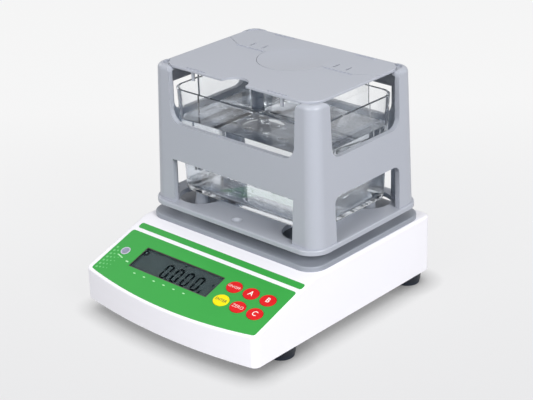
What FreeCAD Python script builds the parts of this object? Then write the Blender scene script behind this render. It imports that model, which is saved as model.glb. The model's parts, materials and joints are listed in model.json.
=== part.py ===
import FreeCAD, Part
import math
import os

# Benchtop density meter: a balance that weighs a solid first in air and then under water.
#
# A white case stands on four levelling feet and carries a keypad, a display and a bubble level.
# A grey stand on its deck lifts the water tank on four posts.  The posts pass freely through
# the floor of the measuring frame, which stands on the load cell alone and carries the two top
# boards.  The rear board has the dish for weighing in air, and the basket hangs from it in the water.
#
# Millimetres, +Z up, the keypad faces -Y, +X is to the right of someone who faces it.
# The origin is on the table, under the middle of the case.

V = FreeCAD.Vector
UP = V(0, 0, 1)
BACKWARDS = V(0, 1, 0)
SIDES = (-1, 1)

# ---------------------------------------------------------------- driving dimensions
# Water tank, outside, at its rim
TANK_W = 155.4
TANK_D = 105.0
TANK_H = 90.9
TANK_CORNER = 14.0
TANK_CORNER_BASE = 13.0
TANK_TAPER = 3.7             # how much further in each wall stands at the bottom
TANK_WALL = 2.5
TANK_FLOOR = 4.0
TANK_BASE_R = 2.5            # rounding round the bottom, outside
TANK_WELL_R = 3.0            # and inside

# Measuring frame: a floor plate and a hoop of four legs joined by a band
TANK_CLEAR = 4.7             # tank rim to the inner face of the hoop's top
HOOP_WALL = 4.5
HOOP_DRAFT = 0.0307          # how much each face leans in per mm of height
HOOP_CORNER_TOP = 11.0
HOOP_CORNER_BASE = 13.0
HOOP_H = 117.8
BAND_LOW = 38.4              # band's lower edge above the floor plate
BAND_HIGH = 70.4             # band's upper edge above the floor plate
LEG_W = 18.6                 # width of a leg's two wings at the top
LEG_GROW = 0.055             # how much wider a wing gets per mm towards the floor
FRONT_OPENING_R = 12.0
SIDE_OPENING_R = 9.0
LOWER_OPENING_R = 7.0
LEG_DOME_R = 4.0             # rounding over the top of the legs, seen from the end of a wall
WING_TOP_R = 6.0             # rounding of a wing's top corner, seen from the side
LEDGE = 3.2                  # shelf inside the legs that the boards lie on
LEDGE_T = 3.0
RAIL_UP = 97.2               # lower edge of the rails that join the legs at the left and back
FLOOR_T = 4.1
FLANGE_X = 1.9               # floor plate beyond the hoop at the sides
FLANGE_Y = 4.2               # and at the front and back
FLOOR_EDGE_R = 1.2
FLOOR_CORNER = 18.0
POST_HOLE_R = 19.5
FLOAT_GAP = 8.5              # stand to floor plate
LOCK_HOLE_R = 2.4            # countersunk holes that take the transport lock screws
LOCK_SINK_R = 4.6
LOCK_SINK_DEEP = 2.2
LOCK_HOLE_INSET = 10.0

# Tank stand
STAND_SIDE = 0.2             # how much further in than the floor plate its sides are
STAND_FRONT = 2.2            # and how much further out its front and back are
STAND_T = 4.2
STAND_EDGE_R = 1.2
STAND_CORNER = 16.0
STAND_SCREW_X = 38.0
STAND_SCREW_REACH = 3.2
POST_X = 58.0                # post centres from the middle
POST_Y = 40.0
POST_BASE_R = 7.2
POST_TOP_R = 4.6
TANK_SEAT = 4.8              # tank's underside above the floor plate's top
WELL_R = 19.0                # hole for the carrier's neck
WELL_RIM_H = 1.4
WELL_RIM_T = 2.0

# Case
SIDE_MARGIN = 2.8            # stand to the case's side
REAR_MARGIN = 6.2            # stand to the case's back
FRONT_MARGIN = 2.0           # stand to the fold between deck and panel
PANEL_SLOPE = 18.5           # degrees
PANEL_LEN = 72.6             # along the slope
FRONT_H = 27.3
FRONT_BOW = 9.5
CASE_CORNER = 6.0
CASE_CORNER_LEAST = 1.0      # inside corner where the wall uses up the outer one
CASE_EDGE = 2.0
CASE_WALL = 2.5
BASE_T = 3.0                 # floor of the lower case
BASE_LIP_H = 7.0
BASE_LIP_T = 2.0
SHELL_GAP = 0.25
DECK_HOLE_MARGIN = 2.0       # hole in the deck beyond the stand's well

# Top boards
BOARD_CLEAR_X = 1.0          # boards to the inner faces of the hoop's sides
BOARD_CLEAR_Y = 0.4          # and of its front and back
BOARD_CORNER = 16.0
TOP_T = 2.0                  # both boards
BOARD_PROUD = 0.5            # their face above the top of the legs
BOARD_EDGE_R = 0.8
SEAM_FROM_MIDDLE = 14.7      # seam behind the middle of the frame
SEAM_STRAIGHT = 62.0         # half length of its straight stretch
SEAM_RISE = 10.8             # how far back its ends run
SEAM_GAP = 0.4
DISH_R = 30.0
DISH_RIM = 1.4
DISH_DEPTH = 2.2
DISH_BOSS = 1.9              # thicker board under the dish
NOTCH_R = 13.0
NOTCH_DEPTH = 12.0
RIB_L = 21.0
RIB_W = 1.2
RIB_H = 0.7
RIB_X = 44.0
RIB_INSET = 2.6
RIDGE_FROM_DISH = 3.0        # ridges on the front board, along the seam on both sides of the dish
RIDGE_FROM_SEAM = 0.9
PEG_R = 1.4
PEG_H = 8.0
PEG_X = 48.0
PEG_INSET = 3.3
REAR_PEG_H = 3.0
REAR_PEG_SIDE = 7.0
REAR_PEG_BACK = 11.5

# Basket
BASKET_W = 132.0             # outside of the two hangers
BASKET_D = 62.0
HANGER_T = 2.0
HANGER_BELOW = 0.3           # hanger's wing below the front board
HANGER_ARM_D = 14.0
HANGER_ARM_PAST = 4.0        # arm beyond the inner tongue
SHELF_W = 4.0
SHELF_INSET = 2.0
TRAY_T = 2.5
TRAY_GAP = 0.2               # tray to each hanger
TRAY_END_GAP = 0.5           # tray's front and back edges inside the hangers'
TRAY_CORNER = 2.0
TRAY_ABOVE_FLOOR = 14.0      # tray's underside above the inside of the tank
TRAY_HOLE_R = 4.0
TRAY_COLUMNS = 7
TRAY_ROWS = 3
TRAY_MARGIN_X = 8.0          # tray's edge to the outer holes' centres
TRAY_MARGIN_Y = 10.0
TONGUE_X = 38.8              # inner tongue of a hanger
TONGUE_PITCH = 12.8
TONGUE_T = 1.4
TONGUE_D = 8.0
TONGUE_BACK = 8.2            # tongue's middle behind the seam
TONGUE_BELOW = 0.6           # tongue's end below the rear board's face
SLOT_CLEAR = 0.15

# Keypad, display and bubble level, on the sloping panel
LABEL_T = 0.3
LABEL_LEFT = 5.5             # case side to label
LABEL_RIGHT = 2.1
LABEL_FRONT = 1.5            # front edge to label, along the slope
LABEL_TO_STRIP = 4.0
LABEL_R = 2.5
LABEL_CUT_R = 0.8            # corners of the label's display window
STRIP_LEN = 6.0              # title strip, along the slope
STRIP_BELOW_FOLD = 9.2
STRIP_R = 2.0
STRIP_LEFT = 7.0
STRIP_RIGHT = 1.2
KEY_RX = 7.3                 # half width of an oval key
KEY_RU = 6.0                 # half height of an oval key
KEY_GAP = 0.3
KEY_PITCH_X = 17.75
KEY_PITCH_U = 16.3
KEY_RIGHT = 17.3             # right-hand keys from the case's side
KEY_ABOVE = 0.5              # middle of the keys above the label's middle
KEY_PROUD = 0.45
KEY_TRAVEL = 0.5
KEY_LUG = 0.9                # lug beyond the cap's side, under the panel
KEY_LUG_T = 1.0
KEY_LUG_D = 4.0
KEY_LUG_GAP = 0.3            # lug below the inside of the panel
KEY_SKIRT = 1.2
KEY_EDGE_R = 0.3
KEY_STEM_R = 1.8
KEY_STEM_LONG = 2.5          # stem below the skirt
KEY_STEM_RUN = 0.1
SWITCH_W = 6.0
SWITCH_GUIDE = 1.0           # how deep a stem stands in its switch at rest
SWITCH_REST = 0.05           # stem to contact when the key is fully down
LCD_ABOVE = 1.6              # display's middle above the label's
LCD_LEN = 24.5
LCD_TO_KEYS = 6.9            # display to the nearest key's edge
LCD_TO_VIAL = 11.3           # display to the bubble level's rim
LCD_T = 2.8
LCD_LAP = 1.2                # display's cell beyond its window
LCD_GAP = 0.2                # cell below the window
LCD_FOOT_INSET = 1.0
WINDOW_T = 1.4
WINDOW_LIP = 1.6             # how far the window runs under the label
WINDOW_R = 1.4
WINDOW_GAP = 0.1
VIAL_LEFT = 18.9             # bubble level from the case's side
VIAL_ABOVE = 2.15            # its middle above the label's
VIAL_R = 4.3
VIAL_LENS_R = 3.4
VIAL_DEEP = 7.0
VIAL_FLOOR = 1.2
VIAL_PROUD = 0.25            # cup's rim above the label
LENS_PROUD = 0.1

# Circuit boards
BOARD_T = 1.6
BOARD_LEN = 72.0
BOARD_UP = 6.0               # boards above the case's floor
BOARD_FOOT_GAP = 2.0         # boards ahead of the rear foot bosses
BOARD_TAIL_GAP = 4.0         # sockets' tails to the rear wall
BOARD_SIDE_GAP = 5.0         # boards to the case's lip
BOARD_PLATE_GAP = 4.0        # boards to the base plate
BOARD_HOLE_INSET = 4.0
BOARD_POST_R = 3.0
BOARD_POST_FLOOR = 0.5       # a blind hole's floor above the inside of the case
BOARD_BOSS_GAP = 1.5
PORT_TAIL_HALF = 11.5
JACK_TAIL_HALF = 7.0
PANEL_BOARD_DROP = 9.0       # panel's face to the panel board
PANEL_BOARD_WALL_GAP = 0.6   # panel board to the case's walls
PANEL_BOARD_BOSS_GAP = 0.5   # and to the corner bosses
PILLAR_R = 2.6
PILLAR_INSET = 3.5           # pillar centres from the panel board's edges
PILLAR_FROM_KEY = 12.0       # pillars beyond the key rows
PILLAR_FROM_LCD = 5.0        # left pillars from the display
PILLAR_REACH = 4.5           # screw in a pillar

# What is soldered to the boards: width, depth, height, then its middle from the board's middle
# and from the board's front edge
PROCESSOR = (14.0, 14.0, 1.6, 0.0, 37.0)
CONVERTER = (8.0, 10.0, 1.4, 0.0, 19.0)
CRYSTAL = (9.0, 4.2, 3.4, 0.0, 52.0)
CRYSTAL_R = 2.0
CELL_HEADER = (5.0, 5.0, 6.0, -7.5, 7.5)
PANEL_HEADER = (10.0, 5.0, 6.0, 9.0, 7.5)
REGULATOR = (10.0, 9.0, 4.5, 0.0, 18.5)
CHOKE = (11.0, 11.0, 6.0, 0.0, 49.0)
CHOKE_R = 3.0
POWER_HEADER = (10.0, 5.0, 6.0, -2.0, 7.5)
CAPACITOR_R = 4.0
CAPACITOR_H = 11.0
CAPACITOR_X = 6.0
CAPACITOR_Y = 34.0

# Nine-way D socket and barrel socket in the rear wall
SOCKET_GAP = 0.2
PORT_FROM_SIDE = 34.0
PORT_UP = 22.0               # its middle above the case's underside
PORT_W = 31.0
PORT_H = 12.6
PORT_SUNK = 0.4              # face inside the case's rear
PORT_STEP = 0.8              # flange behind the face
PORT_BODY_D = 5.2
PORT_BACK_D = 6.0
PORT_BACK_INSET = 6.0
PORT_BACK_LOW = 1.0          # back block's top below the body's
PORT_SHELL_TOP = 8.4         # half widths and half height of the D
PORT_SHELL_LOW = 7.2
PORT_SHELL_H = 4.2
PORT_SHELL_BACK = 1.0
PORT_SHELL_D = 1.4
PORT_HOLE_R = 0.55
PORT_HOLE_PITCH = 2.76
PORT_HOLE_ROW = 1.4
PORT_HOLE_BACK = 1.6
PORT_HOLE_D = 3.0
PORT_LONG_ROW = 5
PORT_SHORT_ROW = 4
PORT_NUT_R = 2.4
PORT_NUT_BACK = 1.4
PORT_NUT_D = 1.6
PORT_NUT_X = 12.5
PORT_THREAD_R = 1.4
JACK_FROM_SIDE = 34.0
JACK_UP = 20.0
JACK_SUNK = 0.5
JACK_HALF = 5.5              # half width of its body
JACK_D = 14.0
JACK_BARREL_R = 5.5          # hole's own radius, before its gap
JACK_BARREL_GAP = 0.3
JACK_BORE_R = 3.2
JACK_BORE_D = 10.0
JACK_PIN_R = 1.0
JACK_PIN_SUNK = 1.0

# Load cell and the carrier that brings the frame's weight to it
CELL_L = 100.0
CELL_W = 18.0
CELL_H = 22.0
CELL_FLEXURE = 2.0           # thinnest metal over each bore
CELL_BORE_Y = 13.0           # bores from the beam's middle
CELL_SLOT_HALF = 3.0
CELL_BLOCK_L = 20.0
CELL_BLOCK_H = 8.0
CELL_PAD_T = 2.0
CELL_SCREW_FIRST = 5.0       # screws from the beam's end
CELL_SCREW_PITCH = 10.0
CELL_SCREW_REACH = 8.0
CARRIER_ARM_T = 4.0
CARRIER_NECK_R = 11.0
CARRIER_DISC_R = 26.0
CARRIER_DISC_T = 3.0
CARRIER_SCREW_X = 18.5
CARRIER_SCREW_Y = 9.0
STUD_ENDS_IN = 0.3           # floor studs' ends inside the disc and the floor
PLATE_T = 2.0
PLATE_HALF_W = 30.0
PLATE_UP = 2.0               # plate above the case's floor
PLATE_END = 8.0              # plate beyond the beam
PLATE_CORNER = 4.0
PLATE_HOLE_INSET = 5.0
PLATE_HOLE_BEYOND = 2.0      # plate's screws beyond the beam
PLATE_SEAT_R = 4.0
PLATE_TIP_UP = 0.2           # screws' tips above the case's floor
STOP_GAP = 0.7               # free end to the overload stop
STOP_R = 2.0
STOP_FROM_END = 6.0
STOP_BELOW = 1.0             # stop's end below the plate
STOP_NUT_R = 3.6
STOP_NUT_T = 2.4

# Feet
FOOT_H = 11.2                # table to the case's underside
PAD_R = 11.0
PAD_DRAFT = 0.4
PAD_T = 3.0
PAD_SOCKET = 1.6
PIN_R = 2.0
PIN_DEEP = 1.4
WHEEL_R = 12.0
WHEEL_LOW_R = 11.4
WHEEL_LIFT = 0.05            # wheel above its pad
WHEEL_GAP = 0.5              # and below the case
WHEEL_GROOVES = 30
GROOVE_R = 0.75
GROOVE_OUT = 0.5             # groove centres beyond the wheel's rim
GROOVE_UP = 2.2              # grooves start above the wheel's underside
STUD_R = 3.0
STUD_RUN = 0.05
STUD_UP = 13.0
STUD_CLEAR = 0.4
FOOT_SIDE = 14.0             # foot centres from the case's side
FOOT_REAR = 14.0
FOOT_FRONT = 44.0
BOSS_R = 8.0
BOSS_H = 12.0
INSERT_R = 5.0
INSERT_H = 9.0

# Leads
LEAD_R = 1.3
LEAD_BEND = 5.0
LEAD_FROM_MIDDLE = 32.0      # where it leaves the beam
LEAD_UP = 4.0                # above the beam's underside
LEAD_OUT = 12.0              # straight run beside the beam
LEAD_OVER = 14.0             # height of its last run above the header
RIBBON_W = 8.0
RIBBON_T = 0.9
RIBBON_FROM_KEY = 8.0        # where it leaves the panel board, above the lower key row
RIBBON_OVER = 3.0            # level run above the header

# Screws
SCREW_R = 1.5
SCREW_HEAD_R = 2.9
SCREW_HEAD_T = 1.9
SCREW_FIT = 0.02             # shank to a hole that it is driven into
SCREW_CLEAR = 0.2            # shank to a plain hole
SCREW_TIP_ROOM = 0.5         # blind hole beyond a tip
HEAD_CLEAR = 0.3
HEAD_SUNK = 0.1
CROSS_HALF = 1.7             # cross recess: half length, half width, depth
CROSS_HALF_W = 0.35
CROSS_DEEP = 0.9
CASE_SCREW_INSET = 9.0
CASE_SCREW_REACH = 11.0
CASE_BOSS_R = 4.0
CASE_BOSS_BOARD_GAP = 2.0    # rear bosses ahead of the boards
CASE_BOSS_KEY_GAP = 0.9      # front bosses ahead of the lower keys' lugs

# How the solids are made
CUT = 1.0                    # a cutter runs this far past the face that it opens
LAP = 0.1                    # shapes that are joined run this far into each other

# ---------------------------------------------------------------- places worked out from them
CASE_Z = FOOT_H
SLOPE = math.radians(PANEL_SLOPE)
PANEL_RUN = PANEL_LEN * math.cos(SLOPE)
PANEL_FRONT_Z = CASE_Z + FRONT_H
DECK_Z = PANEL_FRONT_Z + PANEL_LEN * math.sin(SLOPE)

HOOP_TOP_W = TANK_W + 2 * (TANK_CLEAR + HOOP_WALL)
HOOP_TOP_D = TANK_D + 2 * (TANK_CLEAR + HOOP_WALL)
HOOP_BASE_W = HOOP_TOP_W + 2 * HOOP_DRAFT * HOOP_H
HOOP_BASE_D = HOOP_TOP_D + 2 * HOOP_DRAFT * HOOP_H
FLOOR_W = HOOP_BASE_W + 2 * FLANGE_X
FLOOR_D = HOOP_BASE_D + 2 * FLANGE_Y
STAND_W = FLOOR_W - 2 * STAND_SIDE
STAND_D = FLOOR_D + 2 * STAND_FRONT
CASE_W = STAND_W + 2 * SIDE_MARGIN
CASE_D = REAR_MARGIN + STAND_D + FRONT_MARGIN + PANEL_RUN

REAR_Y = (CASE_D + FRONT_BOW) / 2
CORNER_Y = REAR_Y - CASE_D
MID_Y = REAR_Y - REAR_MARGIN - STAND_D / 2      # middle of the frame, tank and stand

STAND_Z = DECK_Z + STAND_T
FLOOR_Z = STAND_Z + FLOAT_GAP
HOOP_Z = FLOOR_Z + FLOOR_T
HOOP_TOP_Z = HOOP_Z + HOOP_H
TANK_Z = HOOP_Z + TANK_SEAT
RIM_Z = TANK_Z + TANK_H
LEDGE_Z = HOOP_TOP_Z + BOARD_PROUD - TOP_T
TOP_Z = LEDGE_Z + TOP_T
SEAM_Y = MID_Y + SEAM_FROM_MIDDLE
BOARD_W = HOOP_TOP_W - 2 * (HOOP_WALL + BOARD_CLEAR_X)
BOARD_D = HOOP_TOP_D - 2 * (HOOP_WALL + BOARD_CLEAR_Y)
BOARD_FRONT_Y = MID_Y - BOARD_D / 2
BOARD_REAR_Y = MID_Y + BOARD_D / 2
TONGUE_Y = SEAM_Y + TONGUE_BACK
TRAY_Z = TANK_Z + TANK_FLOOR + TRAY_ABOVE_FLOOR
HANGER_TOP = LEDGE_Z - HANGER_BELOW

STRIP_FROM = PANEL_LEN - STRIP_BELOW_FOLD - STRIP_LEN
LABEL_LEN = STRIP_FROM - LABEL_TO_STRIP - LABEL_FRONT
LABEL_MID_U = LABEL_FRONT + LABEL_LEN / 2
KEY_X = [CASE_W / 2 - KEY_RIGHT - i * KEY_PITCH_X for i in (2, 1, 0)]
KEY_U = [LABEL_MID_U + KEY_ABOVE + s * KEY_PITCH_U / 2 for s in SIDES]
KEYS = {
    "key_on_off": (KEY_X[0], KEY_U[1]),
    "key_a": (KEY_X[1], KEY_U[1]),
    "key_b": (KEY_X[2], KEY_U[1]),
    "key_enter": (KEY_X[0], KEY_U[0]),
    "key_zero": (KEY_X[1], KEY_U[0]),
    "key_c": (KEY_X[2], KEY_U[0]),
}
KEY_LOW = -CASE_WALL - KEY_LUG_GAP - KEY_LUG_T
KEY_TIP = KEY_LOW - KEY_STEM_LONG
VIAL_X = -CASE_W / 2 + VIAL_LEFT
VIAL_U = LABEL_MID_U + VIAL_ABOVE
LCD_X0 = VIAL_X + VIAL_R + LCD_TO_VIAL
LCD_X1 = KEY_X[0] - KEY_RX - LCD_TO_KEYS
LCD_W = LCD_X1 - LCD_X0
LCD_MID_X = (LCD_X0 + LCD_X1) / 2
LCD_MID_U = LABEL_MID_U + LCD_ABOVE
LCD_TOP = -WINDOW_T - LCD_GAP
PANEL_BOARD_X0 = LCD_X0 - PILLAR_FROM_LCD - PILLAR_INSET
PANEL_BOARD_X1 = CASE_W / 2 - CASE_SCREW_INSET - CASE_BOSS_R - PANEL_BOARD_BOSS_GAP
PILLAR_U = (KEY_U[0] - PILLAR_FROM_KEY, KEY_U[1] + PILLAR_FROM_KEY)
PILLARS = [
    (x, u)
    for x in (LCD_X0 - PILLAR_FROM_LCD, LCD_X1 + LCD_TO_KEYS / 2, PANEL_BOARD_X1 - PILLAR_INSET)
    for u in PILLAR_U
]

FEET = {
    "front_left": (-CASE_W / 2 + FOOT_SIDE, CORNER_Y + FOOT_FRONT),
    "front_right": (CASE_W / 2 - FOOT_SIDE, CORNER_Y + FOOT_FRONT),
    "rear_left": (-CASE_W / 2 + FOOT_SIDE, REAR_Y - FOOT_REAR),
    "rear_right": (CASE_W / 2 - FOOT_SIDE, REAR_Y - FOOT_REAR),
}
INSERT_Z = CASE_Z + BOSS_H - INSERT_H

INSIDE_Z = CASE_Z + BASE_T
PLATE_Z = INSIDE_Z + PLATE_UP
CELL_Z = PLATE_Z + PLATE_T + CELL_BLOCK_H
CELL_TOP = CELL_Z + CELL_H
CELL_FIXED_Y = MID_Y + CELL_L / 2
CELL_FREE_Y = MID_Y - CELL_L / 2
ARM_Z = CELL_TOP + CELL_PAD_T
DISC_Z = FLOOR_Z - CARRIER_DISC_T
FIXED_SCREWS = [CELL_FIXED_Y - CELL_SCREW_FIRST - i * CELL_SCREW_PITCH for i in (0, 1)]
FREE_SCREWS = [CELL_FREE_Y + CELL_SCREW_FIRST + i * CELL_SCREW_PITCH for i in (0, 1)]
STOP_Y = CELL_FREE_Y + STOP_FROM_END

BOARD_Z = INSIDE_Z + BOARD_UP
BOARD_TOP = BOARD_Z + BOARD_T
BOARD_OUT = CASE_W / 2 - CASE_WALL - BASE_LIP_T - BOARD_SIDE_GAP
BOARD_IN = PLATE_HALF_W + BOARD_PLATE_GAP
BOARD_MID = (BOARD_IN + BOARD_OUT) / 2
BOARDS_REAR_Y = REAR_Y - FOOT_REAR - BOSS_R - BOARD_FOOT_GAP
BOARDS_FRONT_Y = BOARDS_REAR_Y - BOARD_LEN
TAIL_REAR_Y = REAR_Y - CASE_WALL - BOARD_TAIL_GAP
PORT_X = -CASE_W / 2 + PORT_FROM_SIDE
PORT_Z = CASE_Z + PORT_UP
JACK_X = CASE_W / 2 - JACK_FROM_SIDE
JACK_Z = CASE_Z + JACK_UP


def four(x, y, mid_y=0.0):
    """Four places, symmetric about the middle and about mid_y."""
    return [(sx * x, mid_y + sy * y) for sx in SIDES for sy in SIDES]


BOARD_HOLES = [
    (side * x, y)
    for side in SIDES
    for x in (BOARD_IN + BOARD_HOLE_INSET, BOARD_OUT - BOARD_HOLE_INSET)
    for y in (BOARDS_FRONT_Y + BOARD_HOLE_INSET, BOARDS_REAR_Y - BOARD_HOLE_INSET)
]
PLATE_HOLES = four(PLATE_HALF_W - PLATE_HOLE_INSET, CELL_L / 2 + PLATE_HOLE_BEYOND, MID_Y)
STAND_SCREWS = four(STAND_SCREW_X, POST_Y, MID_Y)
POSTS = four(POST_X, POST_Y, MID_Y)
DISC_STUDS = four(CARRIER_SCREW_X, CARRIER_SCREW_Y, MID_Y)
CASE_SCREWS = [
    (side * (CASE_W / 2 - CASE_SCREW_INSET), y)
    for side in SIDES
    for y in (CORNER_Y + (KEY_U[0] - KEY_LUG_D / 2) * math.cos(SLOPE) - CASE_BOSS_R - CASE_BOSS_KEY_GAP,
              BOARDS_FRONT_Y - CASE_BOSS_R - CASE_BOSS_BOARD_GAP)
]


# ---------------------------------------------------------------- helpers
def box(x0, x1, y0, y1, z0, z1):
    return Part.makeBox(x1 - x0, y1 - y0, z1 - z0, V(x0, y0, z0))


def rod(x, y, z0, z1, r):
    return Part.makeCylinder(r, z1 - z0, V(x, y, z0), UP)


def rod_back(x, z, y0, y1, r):
    """A rod that lies front to back."""
    return Part.makeCylinder(r, y1 - y0, V(x, y0, z), BACKWARDS)


def rod_across(y, z, x0, x1, r):
    """A rod that lies from side to side."""
    return Part.makeCylinder(r, x1 - x0, V(x0, y, z), V(1, 0, 0))


def cone(x, y, z0, z1, r0, r1):
    return Part.makeCone(r0, r1, z1 - z0, V(x, y, z0), UP)


def oval(rx, ry, z0, z1):
    """An upright oval prism about the origin, rx across and ry deep."""
    rim = Part.Ellipse(V(0, 0, z0), rx, ry).toShape()
    return Part.Face(Part.Wire([rim])).extrude(V(0, 0, z1 - z0))


def tapped(places, z0, z1):
    """Holes that a screw is driven into."""
    return [rod(x, y, z0, z1, SCREW_R + SCREW_FIT) for x, y in places]


def plain(places, z0, z1):
    """Holes that a screw passes through."""
    return [rod(x, y, z0, z1, SCREW_R + SCREW_CLEAR) for x, y in places]


def rounded_wire(w, d, r, y, z):
    """A rectangle with round corners, flat at height z, its middle at x = 0 and at y."""
    ax, ay = w / 2 - r, d / 2 - r
    k = r * math.sqrt(0.5)
    arcs = []
    for sx, sy, start, end in ((1, -1, (0, -1), (1, 0)), (1, 1, (1, 0), (0, 1)),
                               (-1, 1, (0, 1), (-1, 0)), (-1, -1, (-1, 0), (0, -1))):
        cx, cy = sx * ax, y + sy * ay
        p = V(cx + start[0] * r, cy + start[1] * r, z)
        m = V(cx + sx * k, cy + sy * k, z)
        q = V(cx + end[0] * r, cy + end[1] * r, z)
        arcs.append(Part.Arc(p, m, q).toShape())
    wire = []
    for i, arc in enumerate(arcs):
        following = arcs[(i + 1) % len(arcs)]
        run = Part.makeLine(arc.valueAt(arc.LastParameter), following.valueAt(following.FirstParameter))
        wire += [arc, run]
    return Part.Wire(wire)


def slab(w, d, r, y, z0, z1):
    return Part.Face(rounded_wire(w, d, r, y, z0)).extrude(V(0, 0, z1 - z0))


def tapered(low, high, y, z0, z1):
    """A block whose round-cornered section changes evenly; low and high are (width, depth, corner)."""
    sections = [rounded_wire(*low, y, z0), rounded_wire(*high, y, z1)]
    return Part.makeLoft(sections, True, True)


def fused(shapes):
    whole = shapes[0].fuse(shapes[1:]) if len(shapes) > 1 else shapes[0]
    return whole.removeSplitter()


def polygon(points, along):
    """The closed outline through the points, pushed out along a vector."""
    return Part.Face(Part.makePolygon(points + [points[0]])).extrude(along)


def edges_where(shape, test):
    return [edge for edge in shape.Edges if test(edge)]


def upright(edge):
    a, b = edge.Vertexes[0].Point, edge.Vertexes[-1].Point
    return abs(a.x - b.x) < 1e-6 and abs(a.y - b.y) < 1e-6 and abs(a.z - b.z) > 1e-6


def in_plane_z(edge, z):
    bounds = edge.BoundBox
    return abs(bounds.ZMin - z) < 1e-4 and abs(bounds.ZMax - z) < 1e-4


def rounded_at(shape, r, z):
    """The shape with its edges at height z rounded."""
    return shape.makeFillet(r, edges_where(shape, lambda edge: in_plane_z(edge, z)))


def on_panel(shape, x=0.0, u=0.0):
    """Places a shape drawn about the origin on the panel: x across, u up the slope from the front corners."""
    placed = shape.copy()
    origin = V(x, CORNER_Y + u * math.cos(SLOPE), PANEL_FRONT_Z + u * math.sin(SLOPE))
    tilt = FreeCAD.Placement(origin, FreeCAD.Rotation(V(1, 0, 0), PANEL_SLOPE))
    placed.Placement = tilt.multiply(placed.Placement)
    return placed


def cross_recess(x, y, z0, z1):
    long_x = box(x - CROSS_HALF, x + CROSS_HALF, y - CROSS_HALF_W, y + CROSS_HALF_W, z0, z1)
    long_y = box(x - CROSS_HALF_W, x + CROSS_HALF_W, y - CROSS_HALF, y + CROSS_HALF, z0, z1)
    return fused([long_x, long_y])


def screw_up(x, y, z_face, z_tip):
    """A pan-head screw driven upwards; z_face is its head's lower face."""
    whole = fused([rod(x, y, z_face, z_face + SCREW_HEAD_T, SCREW_HEAD_R), rod(x, y, z_face, z_tip, SCREW_R)])
    return whole.cut(cross_recess(x, y, z_face - LAP, z_face + CROSS_DEEP))


def screw_down(x, y, z_face, z_tip):
    """A pan-head screw driven downwards; z_face is its head's upper face."""
    whole = fused([rod(x, y, z_face - SCREW_HEAD_T, z_face, SCREW_HEAD_R), rod(x, y, z_tip, z_face, SCREW_R)])
    return whole.cut(cross_recess(x, y, z_face - CROSS_DEEP, z_face + LAP))


# ---------------------------------------------------------------- case
def case_block(inset, top_inset, z0):
    """The case's outer form, moved in by inset at the sides and by top_inset under deck and panel."""
    half = CASE_W / 2 - inset
    rear, corner = REAR_Y - inset, CORNER_Y + inset
    outline = Part.Wire([
        Part.makeLine(V(half, corner, z0), V(half, rear, z0)),
        Part.makeLine(V(half, rear, z0), V(-half, rear, z0)),
        Part.makeLine(V(-half, rear, z0), V(-half, corner, z0)),
        Part.Arc(V(-half, corner, z0), V(0, corner - FRONT_BOW, z0), V(half, corner, z0)).toShape(),
    ])
    plan = Part.Face(outline).extrude(V(0, 0, 2 * DECK_Z))
    plan = plan.makeFillet(max(CASE_CORNER - inset, CASE_CORNER_LEAST), edges_where(plan, upright))
    ahead = 2 * FRONT_BOW
    drop = top_inset / math.cos(SLOPE)
    fold_y = CORNER_Y + PANEL_RUN + (drop - top_inset) / math.tan(SLOPE)
    front_z = PANEL_FRONT_Z - drop - ahead * math.tan(SLOPE)
    side = [V(-CASE_W, REAR_Y + CUT, z0), V(-CASE_W, REAR_Y + CUT, DECK_Z - top_inset),
            V(-CASE_W, fold_y, DECK_Z - top_inset), V(-CASE_W, CORNER_Y - ahead, front_z),
            V(-CASE_W, CORNER_Y - ahead, z0)]
    return plan.common(polygon(side, V(2 * CASE_W, 0, 0)))


def on_top_rim(edge):
    """True on the rim of deck and panel, but not on the crease between them."""
    bounds = edge.BoundBox
    on_crease = bounds.ZMin > DECK_Z - 1e-3 and abs(bounds.YMax - CORNER_Y - PANEL_RUN) < 1e-3
    return not upright(edge) and not in_plane_z(edge, CASE_Z) and not on_crease


def key_holes(w0, w1):
    return [on_panel(oval(KEY_RX + KEY_GAP, KEY_RU + KEY_GAP, w0, w1), x, u) for x, u in KEYS.values()]


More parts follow.
